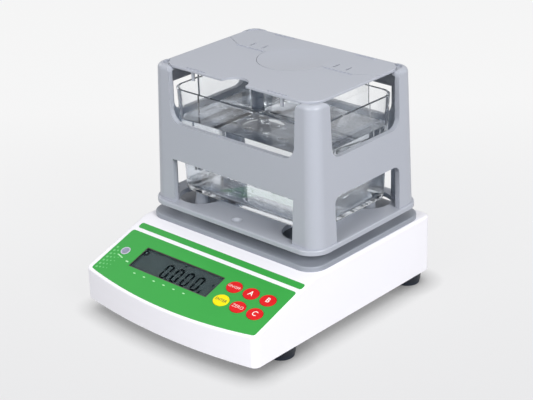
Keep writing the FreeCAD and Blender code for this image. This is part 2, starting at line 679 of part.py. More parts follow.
def upper_case():
    """Deck, panel and walls, with the bosses and pillars that hang inside."""
    outer = case_block(0, 0, CASE_Z)
    outer = outer.makeFillet(CASE_EDGE, edges_where(outer, on_top_rim))
    shell = outer.cut(case_block(CASE_WALL, CASE_WALL, CASE_Z - CUT))
    inside = case_block(CASE_WALL, CASE_WALL / 2, CASE_Z)
    hung = [rod(x, y, INSIDE_Z + SHELL_GAP, DECK_Z, CASE_BOSS_R) for x, y in CASE_SCREWS]
    hung += [on_panel(rod(0, 0, -PANEL_BOARD_DROP, 0, PILLAR_R), x, u) for x, u in PILLARS]
    shell = fused([shell] + [post.common(inside) for post in hung])
    pillar_hole = rod(0, 0, -PANEL_BOARD_DROP - CUT, -PANEL_BOARD_DROP + PILLAR_REACH + SCREW_TIP_ROOM,
                      SCREW_R + SCREW_FIT)
    pocket = slab(LCD_W + 2 * (WINDOW_LIP + WINDOW_GAP), LCD_LEN + 2 * (WINDOW_LIP + WINDOW_GAP),
                  WINDOW_R + WINDOW_GAP, 0, -CASE_WALL - CUT, CUT)
    cuts = tapped(CASE_SCREWS, INSIDE_Z, INSIDE_Z + CASE_SCREW_REACH + SCREW_TIP_ROOM)
    cuts += [on_panel(pillar_hole, x, u) for x, u in PILLARS]
    cuts += key_holes(-CASE_WALL - CUT, CUT)
    cuts.append(on_panel(rod(0, 0, -VIAL_DEEP, CUT, VIAL_R + SCREW_FIT), VIAL_X, VIAL_U))
    cuts.append(on_panel(pocket, LCD_MID_X, LCD_MID_U))
    cuts.append(rod(0, MID_Y, DECK_Z - CASE_WALL - CUT, DECK_Z + CUT, WELL_R + DECK_HOLE_MARGIN))
    cuts += plain(STAND_SCREWS, DECK_Z - CASE_WALL - CUT, DECK_Z + CUT)
    cuts += rear_wall_holes()
    return shell.cut(fused(cuts))


def rear_wall_holes():
    y0, y1 = REAR_Y - CASE_WALL - CUT, REAR_Y + CUT
    half_w, half_h = PORT_W / 2 + SOCKET_GAP, PORT_H / 2 + SOCKET_GAP
    port = box(PORT_X - half_w, PORT_X + half_w, y0, y1, PORT_Z - half_h, PORT_Z + half_h)
    return [port, rod_back(JACK_X, JACK_Z, y0, y1, JACK_BARREL_R + SOCKET_GAP)]


def lower_case():
    """A shallow tray inside the upper case's walls, with bosses for the feet, boards and base plate."""
    side = CASE_WALL + SHELL_GAP
    form = case_block(side, 0, CASE_Z)
    tray = form.common(box(-CASE_W, CASE_W, -CASE_D, CASE_D, CASE_Z, INSIDE_Z + BASE_LIP_H))
    tray = tray.cut(case_block(side + BASE_LIP_T, 0, INSIDE_Z))
    low = INSIDE_Z - CUT
    bosses = [rod(x, y, low, CASE_Z + BOSS_H, BOSS_R).common(form) for x, y in FEET.values()]
    posts = [rod(x, y, low, BOARD_Z, BOARD_POST_R) for x, y in BOARD_HOLES]
    seats = [rod(x, y, low, PLATE_Z, PLATE_SEAT_R) for x, y in PLATE_HOLES]
    tray = fused([tray] + bosses + posts + seats)
    cuts = []
    for x, y in FEET.values():
        cuts.append(rod(x, y, CASE_Z - CUT, CASE_Z + BOSS_H + CUT, STUD_R + STUD_CLEAR))
        cuts.append(rod(x, y, INSERT_Z, CASE_Z + BOSS_H + CUT, INSERT_R + SCREW_FIT))
    cuts += plain(CASE_SCREWS, CASE_Z - CUT, INSIDE_Z + CUT)
    for x, y in CASE_SCREWS:
        cuts.append(rod(x, y, CASE_Z - CUT, CASE_Z + HEAD_SUNK + SCREW_HEAD_T, SCREW_HEAD_R + HEAD_CLEAR))
        cuts.append(rod(x, y, INSIDE_Z, INSIDE_Z + BASE_LIP_H + CUT, CASE_BOSS_R + SHELL_GAP))
    cuts += tapped(BOARD_HOLES, INSIDE_Z + BOARD_POST_FLOOR, BOARD_Z + CUT)
    cuts += tapped(PLATE_HOLES, INSIDE_Z, PLATE_Z + CUT)
    return tray.cut(fused(cuts))


# ---------------------------------------------------------------- circuit boards and sockets
def board(side):
    """One circuit board, on the left (-1) or the right (1), with a tail that carries its socket."""
    x0, x1 = sorted((side * BOARD_IN, side * BOARD_OUT))
    plate = box(x0, x1, BOARDS_FRONT_Y, BOARDS_REAR_Y, BOARD_Z, BOARD_TOP)
    tail_x, half = (PORT_X, PORT_TAIL_HALF) if side < 0 else (JACK_X, JACK_TAIL_HALF)
    tail = box(tail_x - half, tail_x + half, BOARDS_REAR_Y - CUT, TAIL_REAR_Y, BOARD_Z, BOARD_TOP)
    foot_x, foot_y = FEET["rear_left" if side < 0 else "rear_right"]
    whole = fused([plate, tail]).cut(rod(foot_x, foot_y, CASE_Z, DECK_Z, BOSS_R + BOARD_BOSS_GAP))
    holes = [place for place in BOARD_HOLES if place[0] * side > 0]
    return whole.cut(fused(plain(holes, BOARD_Z - CUT, BOARD_TOP + CUT)))


def component(spec, mid_x, corner=0.0):
    """A block on a board, with round corners where it has them."""
    w, d, h, dx, dy = spec
    x, y = mid_x + dx, BOARDS_FRONT_Y + dy
    if corner:
        return slab(w, d, corner, y, BOARD_TOP, BOARD_TOP + h).translated(V(x, 0, 0))
    return box(x - w / 2, x + w / 2, y - d / 2, y + d / 2, BOARD_TOP, BOARD_TOP + h)


def main_board_parts():
    """Processor, converter, crystal can and two plug headers, soldered to the main board."""
    blocks = [component(spec, -BOARD_MID) for spec in (PROCESSOR, CONVERTER, CELL_HEADER, PANEL_HEADER)]
    return Part.makeCompound(blocks + [component(CRYSTAL, -BOARD_MID, CRYSTAL_R)])


def power_board_parts():
    """Regulator, two capacitors, a choke and a plug header, soldered to the power board."""
    blocks = [component(spec, BOARD_MID) for spec in (REGULATOR, POWER_HEADER)]
    y = BOARDS_FRONT_Y + CAPACITOR_Y
    top = BOARD_TOP + CAPACITOR_H
    cans = [rod(BOARD_MID + s * CAPACITOR_X, y, BOARD_TOP, top, CAPACITOR_R) for s in SIDES]
    return Part.makeCompound(blocks + cans + [component(CHOKE, BOARD_MID, CHOKE_R)])


def data_port():
    """A nine-way D socket on the main board, its shell standing in the rear wall."""
    face = REAR_Y - PORT_SUNK
    flange = face - PORT_STEP
    body_y = flange - PORT_BODY_D
    body = box(PORT_X - PORT_W / 2, PORT_X + PORT_W / 2, body_y, flange,
               PORT_Z - PORT_H / 2, PORT_Z + PORT_H / 2)
    back_half = PORT_W / 2 - PORT_BACK_INSET
    back = box(PORT_X - back_half, PORT_X + back_half, body_y - PORT_BACK_D, body_y + LAP,
               BOARD_TOP, PORT_Z + PORT_H / 2 - PORT_BACK_LOW)
    rim = [(-PORT_SHELL_TOP, PORT_SHELL_H), (PORT_SHELL_TOP, PORT_SHELL_H),
           (PORT_SHELL_LOW, -PORT_SHELL_H), (-PORT_SHELL_LOW, -PORT_SHELL_H)]
    ring = [V(PORT_X + x, face - PORT_SHELL_BACK, PORT_Z + z) for x, z in rim]
    shell = polygon(ring, V(0, PORT_SHELL_D, 0))
    hole_y = face - PORT_HOLE_BACK
    nut_y = face - PORT_NUT_BACK
    holes = []
    for count, row in ((PORT_LONG_ROW, 1), (PORT_SHORT_ROW, -1)):
        for i in range(count):
            x = PORT_X + (i - (count - 1) / 2) * PORT_HOLE_PITCH
            z = PORT_Z + row * PORT_HOLE_ROW
            holes.append(rod_back(x, z, hole_y, hole_y + PORT_HOLE_D, PORT_HOLE_R))
    nuts = []
    for s in SIDES:
        x = PORT_X + s * PORT_NUT_X
        nuts.append(rod_back(x, PORT_Z, nut_y, nut_y + PORT_NUT_D, PORT_NUT_R))
        holes.append(rod_back(x, PORT_Z, hole_y, hole_y + PORT_HOLE_D, PORT_THREAD_R))
    return fused([body, back, shell] + nuts).cut(fused(holes))


def power_jack():
    """A barrel socket for the mains adapter: body on the power board, barrel in the rear wall."""
    face = REAR_Y - JACK_SUNK
    inner = face - CASE_WALL - JACK_SUNK
    body = box(JACK_X - JACK_HALF, JACK_X + JACK_HALF, face - JACK_D, inner, BOARD_TOP, JACK_Z + JACK_HALF)
    barrel = rod_back(JACK_X, JACK_Z, inner - JACK_SUNK, face, JACK_BARREL_R - JACK_BARREL_GAP)
    bore = rod_back(JACK_X, JACK_Z, face - JACK_BORE_D, face + CUT, JACK_BORE_R)
    pin = rod_back(JACK_X, JACK_Z, face - JACK_BORE_D - JACK_SUNK, face - JACK_PIN_SUNK, JACK_PIN_R)
    return fused([fused([body, barrel]).cut(bore), pin])


# ---------------------------------------------------------------- panel
def panel_label():
    """Printed film over the panel, with holes for the keys, the display and the bubble level."""
    left, right = -CASE_W / 2 + LABEL_LEFT, CASE_W / 2 - LABEL_RIGHT
    low, high = LABEL_FRONT, LABEL_FRONT + LABEL_LEN
    lowest = V((left + right) / 2, low - FRONT_BOW, 0)
    outline = Part.Wire([
        Part.makeLine(V(right, low, 0), V(right, high, 0)),
        Part.makeLine(V(right, high, 0), V(left, high, 0)),
        Part.makeLine(V(left, high, 0), V(left, low, 0)),
        Part.Arc(V(left, low, 0), lowest, V(right, low, 0)).toShape(),
    ])
    film = Part.Face(outline).extrude(V(0, 0, LABEL_T))
    film = on_panel(film.makeFillet(LABEL_R, edges_where(film, upright)))
    cuts = key_holes(-CUT, CUT)
    cuts.append(on_panel(rod(0, 0, -CUT, CUT, VIAL_R + WINDOW_GAP), VIAL_X, VIAL_U))
    cuts.append(on_panel(slab(LCD_W, LCD_LEN, LABEL_CUT_R, 0, -CUT, CUT), LCD_MID_X, LCD_MID_U))
    return film.cut(fused(cuts))


def title_strip():
    film = slab(CASE_W - STRIP_LEFT - STRIP_RIGHT, STRIP_LEN, STRIP_R, 0, 0, LABEL_T)
    return on_panel(film, (STRIP_LEFT - STRIP_RIGHT) / 2, STRIP_FROM + STRIP_LEN / 2)


def lcd_window():
    pane = slab(LCD_W + 2 * WINDOW_LIP, LCD_LEN + 2 * WINDOW_LIP, WINDOW_R, 0, -WINDOW_T, 0)
    return on_panel(pane, LCD_MID_X, LCD_MID_U)


def lcd_module():
    """Liquid crystal cell: the glass, standing on the panel board by its contact strip."""
    glass = box(-LCD_W / 2 - LCD_LAP, LCD_W / 2 + LCD_LAP, -LCD_LEN / 2 - LCD_LAP, LCD_LEN / 2 + LCD_LAP,
                LCD_TOP - LCD_T, LCD_TOP)
    foot_half = LCD_LEN / 2 - LCD_FOOT_INSET
    foot = box(-LCD_W / 2, LCD_W / 2, -foot_half, foot_half, -PANEL_BOARD_DROP, LCD_TOP - LCD_T + LAP)
    return on_panel(fused([glass, foot]), LCD_MID_X, LCD_MID_U)


def panel_board():
    low, high = PILLAR_U[0] - PILLAR_INSET, PILLAR_U[1] + PILLAR_INSET
    under = -PANEL_BOARD_DROP - BOARD_T
    plate = on_panel(box(PANEL_BOARD_X0, PANEL_BOARD_X1, low, high, under, -PANEL_BOARD_DROP))
    hole = rod(0, 0, under - CUT, -PANEL_BOARD_DROP + CUT, SCREW_R + SCREW_CLEAR)
    limit = case_block(CASE_WALL + PANEL_BOARD_WALL_GAP, CASE_WALL, INSIDE_Z)
    return plate.common(limit).cut(fused([on_panel(hole, x, u) for x, u in PILLARS]))


def key_switches():
    """Six push switches on the panel board; a key's stem runs down each one's well to the contact below."""
    half = SWITCH_W / 2
    top = KEY_TIP + SWITCH_GUIDE
    body = box(-half, half, -half, half, -PANEL_BOARD_DROP, top)
    well = rod(0, 0, KEY_TIP - KEY_TRAVEL - SWITCH_REST, top + CUT, KEY_STEM_R + KEY_STEM_RUN)
    one = body.cut(well)
    return Part.makeCompound([on_panel(one, x, u) for x, u in KEYS.values()])


def key(name):
    """An oval key cap: face, skirt in the case's hole, two lugs under the wall and a stem in its switch."""
    x, u = KEYS[name]
    top = KEY_PROUD + LABEL_T
    cap = rounded_at(oval(KEY_RX, KEY_RU, KEY_LOW, top), KEY_EDGE_R, top)
    lug = KEY_RX + KEY_LUG
    lugs = box(-lug, lug, -KEY_LUG_D / 2, KEY_LUG_D / 2, KEY_LOW, KEY_LOW + KEY_LUG_T)
    hollow = oval(KEY_RX - KEY_SKIRT, KEY_RU - KEY_SKIRT, KEY_LOW - CUT, -KEY_SKIRT)
    stem = rod(0, 0, KEY_TIP, KEY_PROUD, KEY_STEM_R)
    return on_panel(fused([cap.cut(hollow), lugs.cut(hollow), stem]), x, u)


def vial_cup():
    cup = rod(0, 0, -VIAL_DEEP, LABEL_T + VIAL_PROUD, VIAL_R)
    cup = cup.cut(rod(0, 0, -VIAL_DEEP + VIAL_FLOOR, CUT, VIAL_LENS_R))
    return on_panel(cup, VIAL_X, VIAL_U)


def vial_lens():
    """The glass of the bubble level, full of spirit."""
    glass = rod(0, 0, -VIAL_DEEP + VIAL_FLOOR, LABEL_T + LENS_PROUD, VIAL_LENS_R - SCREW_FIT)
    return on_panel(glass, VIAL_X, VIAL_U)


# ---------------------------------------------------------------- tank and its stand
def tank_stand():
    """A plate on the deck with four posts for the tank and a rimmed well round the carrier's neck."""
    plate = rounded_at(slab(STAND_W, STAND_D, STAND_CORNER, MID_Y, DECK_Z, STAND_Z), STAND_EDGE_R, STAND_Z)
    rim = rod(0, MID_Y, STAND_Z - LAP, STAND_Z + WELL_RIM_H, WELL_R + WELL_RIM_T)
    posts = [cone(x, y, STAND_Z - LAP, TANK_Z, POST_BASE_R, POST_TOP_R) for x, y in POSTS]
    cuts = [rod(0, MID_Y, DECK_Z - CUT, STAND_Z + WELL_RIM_H + CUT, WELL_R)]
    cuts += tapped(STAND_SCREWS, DECK_Z - CUT, DECK_Z + STAND_SCREW_REACH + SCREW_TIP_ROOM)
    return fused([plate, rim] + posts).cut(fused(cuts))


def water_tank():
    """A drafted, round-cornered tank, open at the top."""
    def section(z, wall):
        """Width, depth and corner of the tank at height z, less its wall."""
        up = (z - TANK_Z) / TANK_H
        less = 2 * TANK_TAPER * (1 - up) + 2 * wall
        corner = TANK_CORNER_BASE + (TANK_CORNER - TANK_CORNER_BASE) * up - wall
        return TANK_W - less, TANK_D - less, corner

    outer = tapered(section(TANK_Z, 0), section(RIM_Z, 0), MID_Y, TANK_Z, RIM_Z)
    outer = rounded_at(outer, TANK_BASE_R, TANK_Z)
    low, high = TANK_Z + TANK_FLOOR, RIM_Z + CUT
    inner = tapered(section(low, TANK_WALL), section(high, TANK_WALL), MID_Y, low, high)
    return outer.cut(rounded_at(inner, TANK_WELL_R, low))


# ---------------------------------------------------------------- measuring frame
def frame_floor():
    """The frame's floor, with wide holes that leave the tank's posts free."""
    plate = rounded_at(slab(FLOOR_W, FLOOR_D, FLOOR_CORNER, MID_Y, FLOOR_Z, HOOP_Z), FLOOR_EDGE_R, HOOP_Z)
    cuts = [rod(x, y, FLOOR_Z - CUT, HOOP_Z + CUT, POST_HOLE_R) for x, y in POSTS]
    for s in SIDES:
        y = MID_Y + s * (FLOOR_D / 2 - LOCK_HOLE_INSET)
        cuts.append(rod(0, y, FLOOR_Z - CUT, HOOP_Z + CUT, LOCK_HOLE_R))
        cuts.append(cone(0, y, HOOP_Z - LOCK_SINK_DEEP, HOOP_Z, LOCK_HOLE_R, LOCK_SINK_R))
    cuts += tapped(DISC_STUDS, FLOOR_Z - CUT, HOOP_Z + CUT)
    return plate.cut(fused(cuts))


def wing(z):
    """Width of a leg's wing at height z."""
    return LEG_W + LEG_GROW * (HOOP_TOP_Z - z)


def hoop_half(z, depth):
    """Half the hoop's outside, across (depth False) or front to back (depth True), at height z."""
    top = HOOP_TOP_D if depth else HOOP_TOP_W
    return top / 2 + HOOP_DRAFT * (HOOP_TOP_Z - z)


def opening(depth, z_low, z_high, r_low, r_high):
    """A tapered opening between the wings of two facing walls, its lower or upper corners rounded."""
    half_low = hoop_half(z_low, depth) - wing(z_low)
    half_high = hoop_half(z_high, depth) - wing(z_high)
    outline = [(-half_low, z_low), (half_low, z_low), (half_high, z_high), (-half_high, z_high)]
    run = 2 * FLOOR_W
    if depth:
        block = polygon([V(-run / 2, MID_Y + a, z) for a, z in outline], V(run, 0, 0))
    else:
        block = polygon([V(a, MID_Y - run / 2, z) for a, z in outline], V(0, run, 0))
    for r, z in ((r_low, z_low), (r_high, z_high)):
        if r:
            long_edges = [e for e in block.Edges if in_plane_z(e, z) and e.Length > run - CUT]
            block = block.makeFillet(r, long_edges)
    return block


def wing_tops(depth):
    """Cutters that round the top corners of the wings in one pair of facing walls."""
    z = HOOP_TOP_Z - WING_TOP_R
    side = hoop_half(z, depth) - wing(z)
    cutters = []
    for s in SIDES:
        centre = s * (side + WING_TOP_R)
        low, high = sorted((s * (side - CUT), centre))
        if depth:
            block = box(-FLOOR_W, FLOOR_W, MID_Y + low, MID_Y + high, z, HOOP_TOP_Z + CUT)
            drum = rod_across(MID_Y + centre, z, -FLOOR_W, FLOOR_W, WING_TOP_R)
        else:
            block = box(low, high, MID_Y - FLOOR_W, MID_Y + FLOOR_W, z, HOOP_TOP_Z + CUT)
            drum = rod_back(centre, z, MID_Y - FLOOR_W, MID_Y + FLOOR_W, WING_TOP_R)
        cutters.append(block.cut(drum))
    return cutters


def top_rails(walls):
    """The stretches of the left and rear walls that join the legs just under the top."""
    low = HOOP_Z + RAIL_UP
    half_w, half_d = HOOP_TOP_W / 2 - LEG_W / 2, HOOP_TOP_D / 2 - LEG_W / 2
    left = box(-HOOP_BASE_W, 0, MID_Y - half_d, MID_Y + half_d, low, LEDGE_Z)
    rear = box(-half_w, half_w, MID_Y, MID_Y + HOOP_BASE_D, low, LEDGE_Z)
    return walls.common(fused([left, rear]))


def frame_hoop():
    """Four drafted corner legs joined half-way up by a band, and at the left and back by rails too."""
    def section(z, wall):
        """Width, depth and corner of the hoop at height z, less its wall."""
        up = (z - HOOP_Z) / HOOP_H
        corner = HOOP_CORNER_BASE + (HOOP_CORNER_TOP - HOOP_CORNER_BASE) * up - wall
        return 2 * (hoop_half(z, False) - wall), 2 * (hoop_half(z, True) - wall), corner

    outer = tapered(section(HOOP_Z, 0), section(HOOP_TOP_Z, 0), MID_Y, HOOP_Z, HOOP_TOP_Z)
    outer = rounded_at(outer, LEG_DOME_R, HOOP_TOP_Z)
    low, high = HOOP_Z - CUT, HOOP_TOP_Z + CUT
    inner = tapered(section(low, HOOP_WALL), section(high, HOOP_WALL), MID_Y, low, high)
    r, z0 = HOOP_CORNER_TOP - HOOP_WALL, LEDGE_Z - LEDGE_T
    ledge = slab(HOOP_TOP_W - HOOP_WALL, HOOP_TOP_D - HOOP_WALL, r + HOOP_WALL / 2, MID_Y, z0, LEDGE_Z)
    reach = 2 * (HOOP_WALL + LEDGE)
    ledge = ledge.cut(slab(HOOP_TOP_W - reach, HOOP_TOP_D - reach, r, MID_Y, z0 - CUT, LEDGE_Z + CUT))
    walls = outer.cut(inner)
    whole = fused([walls, ledge.common(outer)])
    cuts = []
    for depth in (False, True):
        upper_r = SIDE_OPENING_R if depth else FRONT_OPENING_R
        lower_r = LOWER_OPENING_R if depth else 0
        cuts.append(opening(depth, HOOP_Z + BAND_HIGH, high, upper_r, 0))
        cuts.append(opening(depth, low, HOOP_Z + BAND_LOW, 0, lower_r))
        cuts += wing_tops(depth)
    return fused([whole.cut(fused(cuts)), top_rails(walls)])


# ---------------------------------------------------------------- load cell and carrier
def at_middle(rows):
    return [(0, y) for y in rows]


def base_plate():
    low, high = PLATE_Z - CUT, PLATE_Z + PLATE_T + CUT
    plate = slab(2 * PLATE_HALF_W, CELL_L + 2 * PLATE_END, PLATE_CORNER, MID_Y, PLATE_Z, PLATE_Z + PLATE_T)
    cuts = plain(PLATE_HOLES + at_middle(FIXED_SCREWS), low, high)
    cuts.append(rod(0, STOP_Y, low, high, STOP_R))
    return plate.cut(fused(cuts))


def cell_block():
    z0 = PLATE_Z + PLATE_T
    block = box(-CELL_W / 2, CELL_W / 2, CELL_FIXED_Y - CELL_BLOCK_L, CELL_FIXED_Y, z0, CELL_Z)
    return block.cut(fused(plain(at_middle(FIXED_SCREWS), z0 - CUT, CELL_Z + CUT)))


def load_cell():
    """A bending beam: two bores joined by a slot leave four thin flexures, so the free end sinks level."""
    half = CELL_W / 2
    beam = box(-half, half, CELL_FREE_Y, CELL_FIXED_Y, CELL_Z, CELL_TOP)
    mid = (CELL_Z + CELL_TOP) / 2
    r = CELL_H / 2 - CELL_FLEXURE
    cuts = [rod_across(MID_Y + s * CELL_BORE_Y, mid, -half - CUT, half + CUT, r) for s in SIDES]
    cuts.append(box(-half - CUT, half + CUT, MID_Y - CELL_BORE_Y, MID_Y + CELL_BORE_Y,
                    mid - CELL_SLOT_HALF, mid + CELL_SLOT_HALF))
    deep = CELL_SCREW_REACH + SCREW_TIP_ROOM
    cuts += tapped(at_middle(FIXED_SCREWS), CELL_Z - CUT, CELL_Z + deep)
    cuts += tapped(at_middle(FREE_SCREWS), CELL_TOP - deep, CELL_TOP + CUT)
    return beam.cut(fused(cuts))


def carrier():
    """An arm on the cell's free end that reaches back over the cell and stands up through the deck."""
    half = CELL_W / 2
    arm_top = ARM_Z + CARRIER_ARM_T
    pad = box(-half, half, CELL_FREE_Y, CELL_FREE_Y + CELL_BLOCK_L, CELL_TOP, ARM_Z)
    arm = box(-half, half, CELL_FREE_Y, MID_Y + CARRIER_NECK_R, ARM_Z, arm_top)
    neck = rod(0, MID_Y, ARM_Z, FLOOR_Z, CARRIER_NECK_R)
    disc = rod(0, MID_Y, DISC_Z, FLOOR_Z, CARRIER_DISC_R)
    cuts = plain(at_middle(FREE_SCREWS), CELL_TOP - CUT, arm_top + CUT)
    cuts += tapped(DISC_STUDS, DISC_Z - CUT, FLOOR_Z + CUT)
    return fused([pad, arm, neck, disc]).cut(fused(cuts))


def overload_stop():
    """A grub screw under the free end that the beam meets before it is bent too far."""
    stud = rod(0, STOP_Y, PLATE_Z - STOP_BELOW, CELL_Z - STOP_GAP, STOP_R - SCREW_FIT)
    nut = rod(0, STOP_Y, PLATE_Z + PLATE_T, PLATE_Z + PLATE_T + STOP_NUT_T, STOP_NUT_R)
    return fused([stud, nut])


# ---------------------------------------------------------------- top boards and basket
def behind_seam(y_edge, shift):
    """A block that fills the top from y_edge to the seam, which is moved by shift."""
    half = BOARD_W
    y = SEAM_Y + shift
    y_out = y + SEAM_RISE * (half - SEAM_STRAIGHT) / (BOARD_W / 2 - SEAM_STRAIGHT)
    z = LEDGE_Z - CUT
    outline = [V(-half, y_edge, z), V(half, y_edge, z), V(half, y_out, z), V(SEAM_STRAIGHT, y, z),
               V(-SEAM_STRAIGHT, y, z), V(-half, y_out, z)]
    return polygon(outline, V(0, 0, TOP_T + 2 * CUT))


def ribs(y, z):
    half_l, half_w = RIB_L / 2, RIB_W / 2
    return [box(x - half_l, x + half_l, y - half_w, y + half_w, z - LAP, z + RIB_H) for x in (-RIB_X, RIB_X)]


def top_plate():
    """The whole top before it is parted along the seam."""
    return rounded_at(slab(BOARD_W, BOARD_D, BOARD_CORNER, MID_Y, LEDGE_Z, TOP_Z), BOARD_EDGE_R, TOP_Z)


def pegs(x, y, length):
    return [rod(s * x, y, LEDGE_Z - length, LEDGE_Z + LAP, PEG_R) for s in SIDES]


def seam_ridges():
    x0, x1 = DISH_R + RIDGE_FROM_DISH, SEAM_STRAIGHT
    y = SEAM_Y - RIDGE_FROM_SEAM
    z0, z1 = TOP_Z - LAP, TOP_Z + RIB_H
    return [box(a, b, y - RIB_W / 2, y + RIB_W / 2, z0, z1) for a, b in ((-x1, -x0), (x0, x1))]


def front_lid():
    """The front board, with a finger notch, cut round the dish."""
    lid = top_plate().common(behind_seam(BOARD_FRONT_Y - CUT, -SEAM_GAP / 2))
    notch_y = BOARD_FRONT_Y + NOTCH_DEPTH - NOTCH_R
    lid = lid.cut(fused([rod(0, SEAM_Y, LEDGE_Z - CUT, TOP_Z + CUT, DISH_R + SEAM_GAP),
                         rod(0, notch_y, LEDGE_Z - CUT, TOP_Z + CUT, NOTCH_R)]))
    raised = ribs(BOARD_FRONT_Y + RIB_INSET, TOP_Z) + seam_ridges()
    return fused([lid] + raised + pegs(PEG_X, BOARD_FRONT_Y + PEG_INSET, PEG_H))


def tongue_places():
    return [s * (TONGUE_X + i * TONGUE_PITCH) for s in SIDES for i in (0, 1)]


def rear_board():
    """The rear board with the weighing dish, and slots for the hangers' tongues."""
    plate = top_plate().common(behind_seam(BOARD_REAR_Y + CUT, SEAM_GAP / 2))
    tongue = rod(0, SEAM_Y, LEDGE_Z - DISH_BOSS, TOP_Z, DISH_R)
    board_pegs = pegs(BOARD_W / 2 - REAR_PEG_SIDE, SEAM_Y + REAR_PEG_BACK, REAR_PEG_H)
    whole = fused([plate, tongue] + ribs(BOARD_REAR_Y - RIB_INSET, TOP_Z) + board_pegs)
    hollow_r = DISH_R - DISH_RIM
    ball_r = (hollow_r ** 2 + DISH_DEPTH ** 2) / (2 * DISH_DEPTH)
    dish = Part.makeSphere(ball_r, V(0, SEAM_Y, TOP_Z - DISH_DEPTH + ball_r))
    half_t, half_d = TONGUE_T / 2 + SLOT_CLEAR, TONGUE_D / 2 + SLOT_CLEAR
    slots = [box(x - half_t, x + half_t, TONGUE_Y - half_d, TONGUE_Y + half_d, LEDGE_Z - CUT, TOP_Z + CUT)
             for x in tongue_places()]
    return whole.cut(fused([dish] + slots))


def hanger(side):
    """A clear bent sheet: a wing beside the tray, an arm under the rear board and two tongues into it."""
    x_out, x_in = BASKET_W / 2, BASKET_W / 2 - HANGER_T
    y0, y1 = MID_Y - BASKET_D / 2, MID_Y + BASKET_D / 2
    shelf_z = TRAY_Z - HANGER_T
    sheet = box(x_in, x_out, y0, y1, shelf_z, HANGER_TOP)
    arm = box(TONGUE_X - HANGER_ARM_PAST, x_out, TONGUE_Y - HANGER_ARM_D / 2, TONGUE_Y + HANGER_ARM_D / 2,
              LEDGE_Z - HANGER_T, LEDGE_Z)
    shelf = box(x_in - SHELF_W, x_out, y0 + SHELF_INSET, y1 - SHELF_INSET, shelf_z, TRAY_Z)
    tongues = [box(x - TONGUE_T / 2, x + TONGUE_T / 2, TONGUE_Y - TONGUE_D / 2, TONGUE_Y + TONGUE_D / 2,
                   LEDGE_Z - HANGER_T, TOP_Z - TONGUE_BELOW)
               for x in tongue_places() if x > 0]
    whole = fused([sheet, arm, shelf] + tongues)
    return whole.mirror(V(0, 0, 0), V(1, 0, 0)) if side < 0 else whole


def basket_tray():
    """The clear, drilled tray that holds the sample under water, lying on the hangers' shelves."""
    half = BASKET_W / 2 - HANGER_T - TRAY_GAP
    depth = BASKET_D - 2 * TRAY_END_GAP
    tray = slab(2 * half, depth, TRAY_CORNER, MID_Y, TRAY_Z, TRAY_Z + TRAY_T)
    step_x = 2 * (half - TRAY_MARGIN_X) / (TRAY_COLUMNS - 1)
    step_y = (depth - 2 * TRAY_MARGIN_Y) / (TRAY_ROWS - 1)
    holes = []
    for i in range(TRAY_COLUMNS):
        for j in range(TRAY_ROWS):
            x = -half + TRAY_MARGIN_X + i * step_x
            y = MID_Y - depth / 2 + TRAY_MARGIN_Y + j * step_y
            holes.append(rod(x, y, TRAY_Z - CUT, TRAY_Z + TRAY_T + CUT, TRAY_HOLE_R))
    return tray.cut(fused(holes))


# ---------------------------------------------------------------- feet
def foot_pad(name):
    x, y = FEET[name]
    pad = cone(x, y, 0, PAD_T, PAD_R - PAD_DRAFT, PAD_R)
    return pad.cut(rod(x, y, PAD_T - PAD_SOCKET, PAD_T + CUT, PIN_R + STUD_RUN))


def foot_wheel(name):
    """A grooved hand wheel on a threaded stud, turning on a pin in the pad."""
    x, y = FEET[name]
    z0, z1 = PAD_T + WHEEL_LIFT, FOOT_H - WHEEL_GAP
    wheel = cone(x, y, z0, z1, WHEEL_LOW_R, WHEEL_R)
    grooves = []
    for i in range(WHEEL_GROOVES):
        a = 2 * math.pi * i / WHEEL_GROOVES
        r = WHEEL_R + GROOVE_OUT
        grooves.append(rod(x + r * math.cos(a), y + r * math.sin(a), z0 + GROOVE_UP, z1 + CUT, GROOVE_R))
    pin = rod(x, y, PAD_T - PIN_DEEP, z0 + LAP, PIN_R)
    stud = rod(x, y, z1 - LAP, z1 + STUD_UP, STUD_R)
    return fused([wheel.cut(fused(grooves)), pin, stud])


def foot_inserts():
    rings = []
    for x, y in FEET.values():
        ring = rod(x, y, INSERT_Z, CASE_Z + BOSS_H, INSERT_R)
        rings.append(ring.cut(rod(x, y, INSERT_Z - CUT, CASE_Z + BOSS_H + CUT, STUD_R + STUD_RUN)))
    return Part.makeCompound(rings)


# ---------------------------------------------------------------- leads and screws
def tube_along(points, radius, r):
    """A round lead: straight runs joined by tangent arcs of one radius."""
    edges = []
    last = points[0]
    for before, corner, after in zip(points, points[1:], points[2:]):
        a = (before - corner).normalize()
        b = (after - corner).normalize()
        angle = math.acos(max(-1.0, min(1.0, a.dot(b))))
        back = radius / math.tan(angle / 2)
        start, end = corner + a * back, corner + b * back
        middle = corner + (a + b).normalize() * (radius / math.sin(angle / 2) - radius)
        edges += [Part.LineSegment(last, start).toShape(), Part.Arc(start, middle, end).toShape()]
        last = end
    edges.append(Part.LineSegment(last, points[-1]).toShape())
    section = Part.Wire([Part.makeCircle(r, points[0], (points[1] - points[0]).normalize())])
    return Part.Wire(edges).makePipeShell([section], True, False)


def header_top(spec):
    """The middle of a plug header's top on the main board."""
    return V(-BOARD_MID + spec[3], BOARDS_FRONT_Y + spec[4], BOARD_TOP + spec[2])


def cell_lead():
    """The load cell's screened lead, from the beam's side to the header on the main board."""
    plug = header_top(CELL_HEADER)
    start = V(-CELL_W / 2, MID_Y + LEAD_FROM_MIDDLE, CELL_Z + LEAD_UP)
    return tube_along([start, start - V(LEAD_OUT, 0, 0), plug + V(0, 0, LEAD_OVER), plug], LEAD_BEND, LEAD_R)


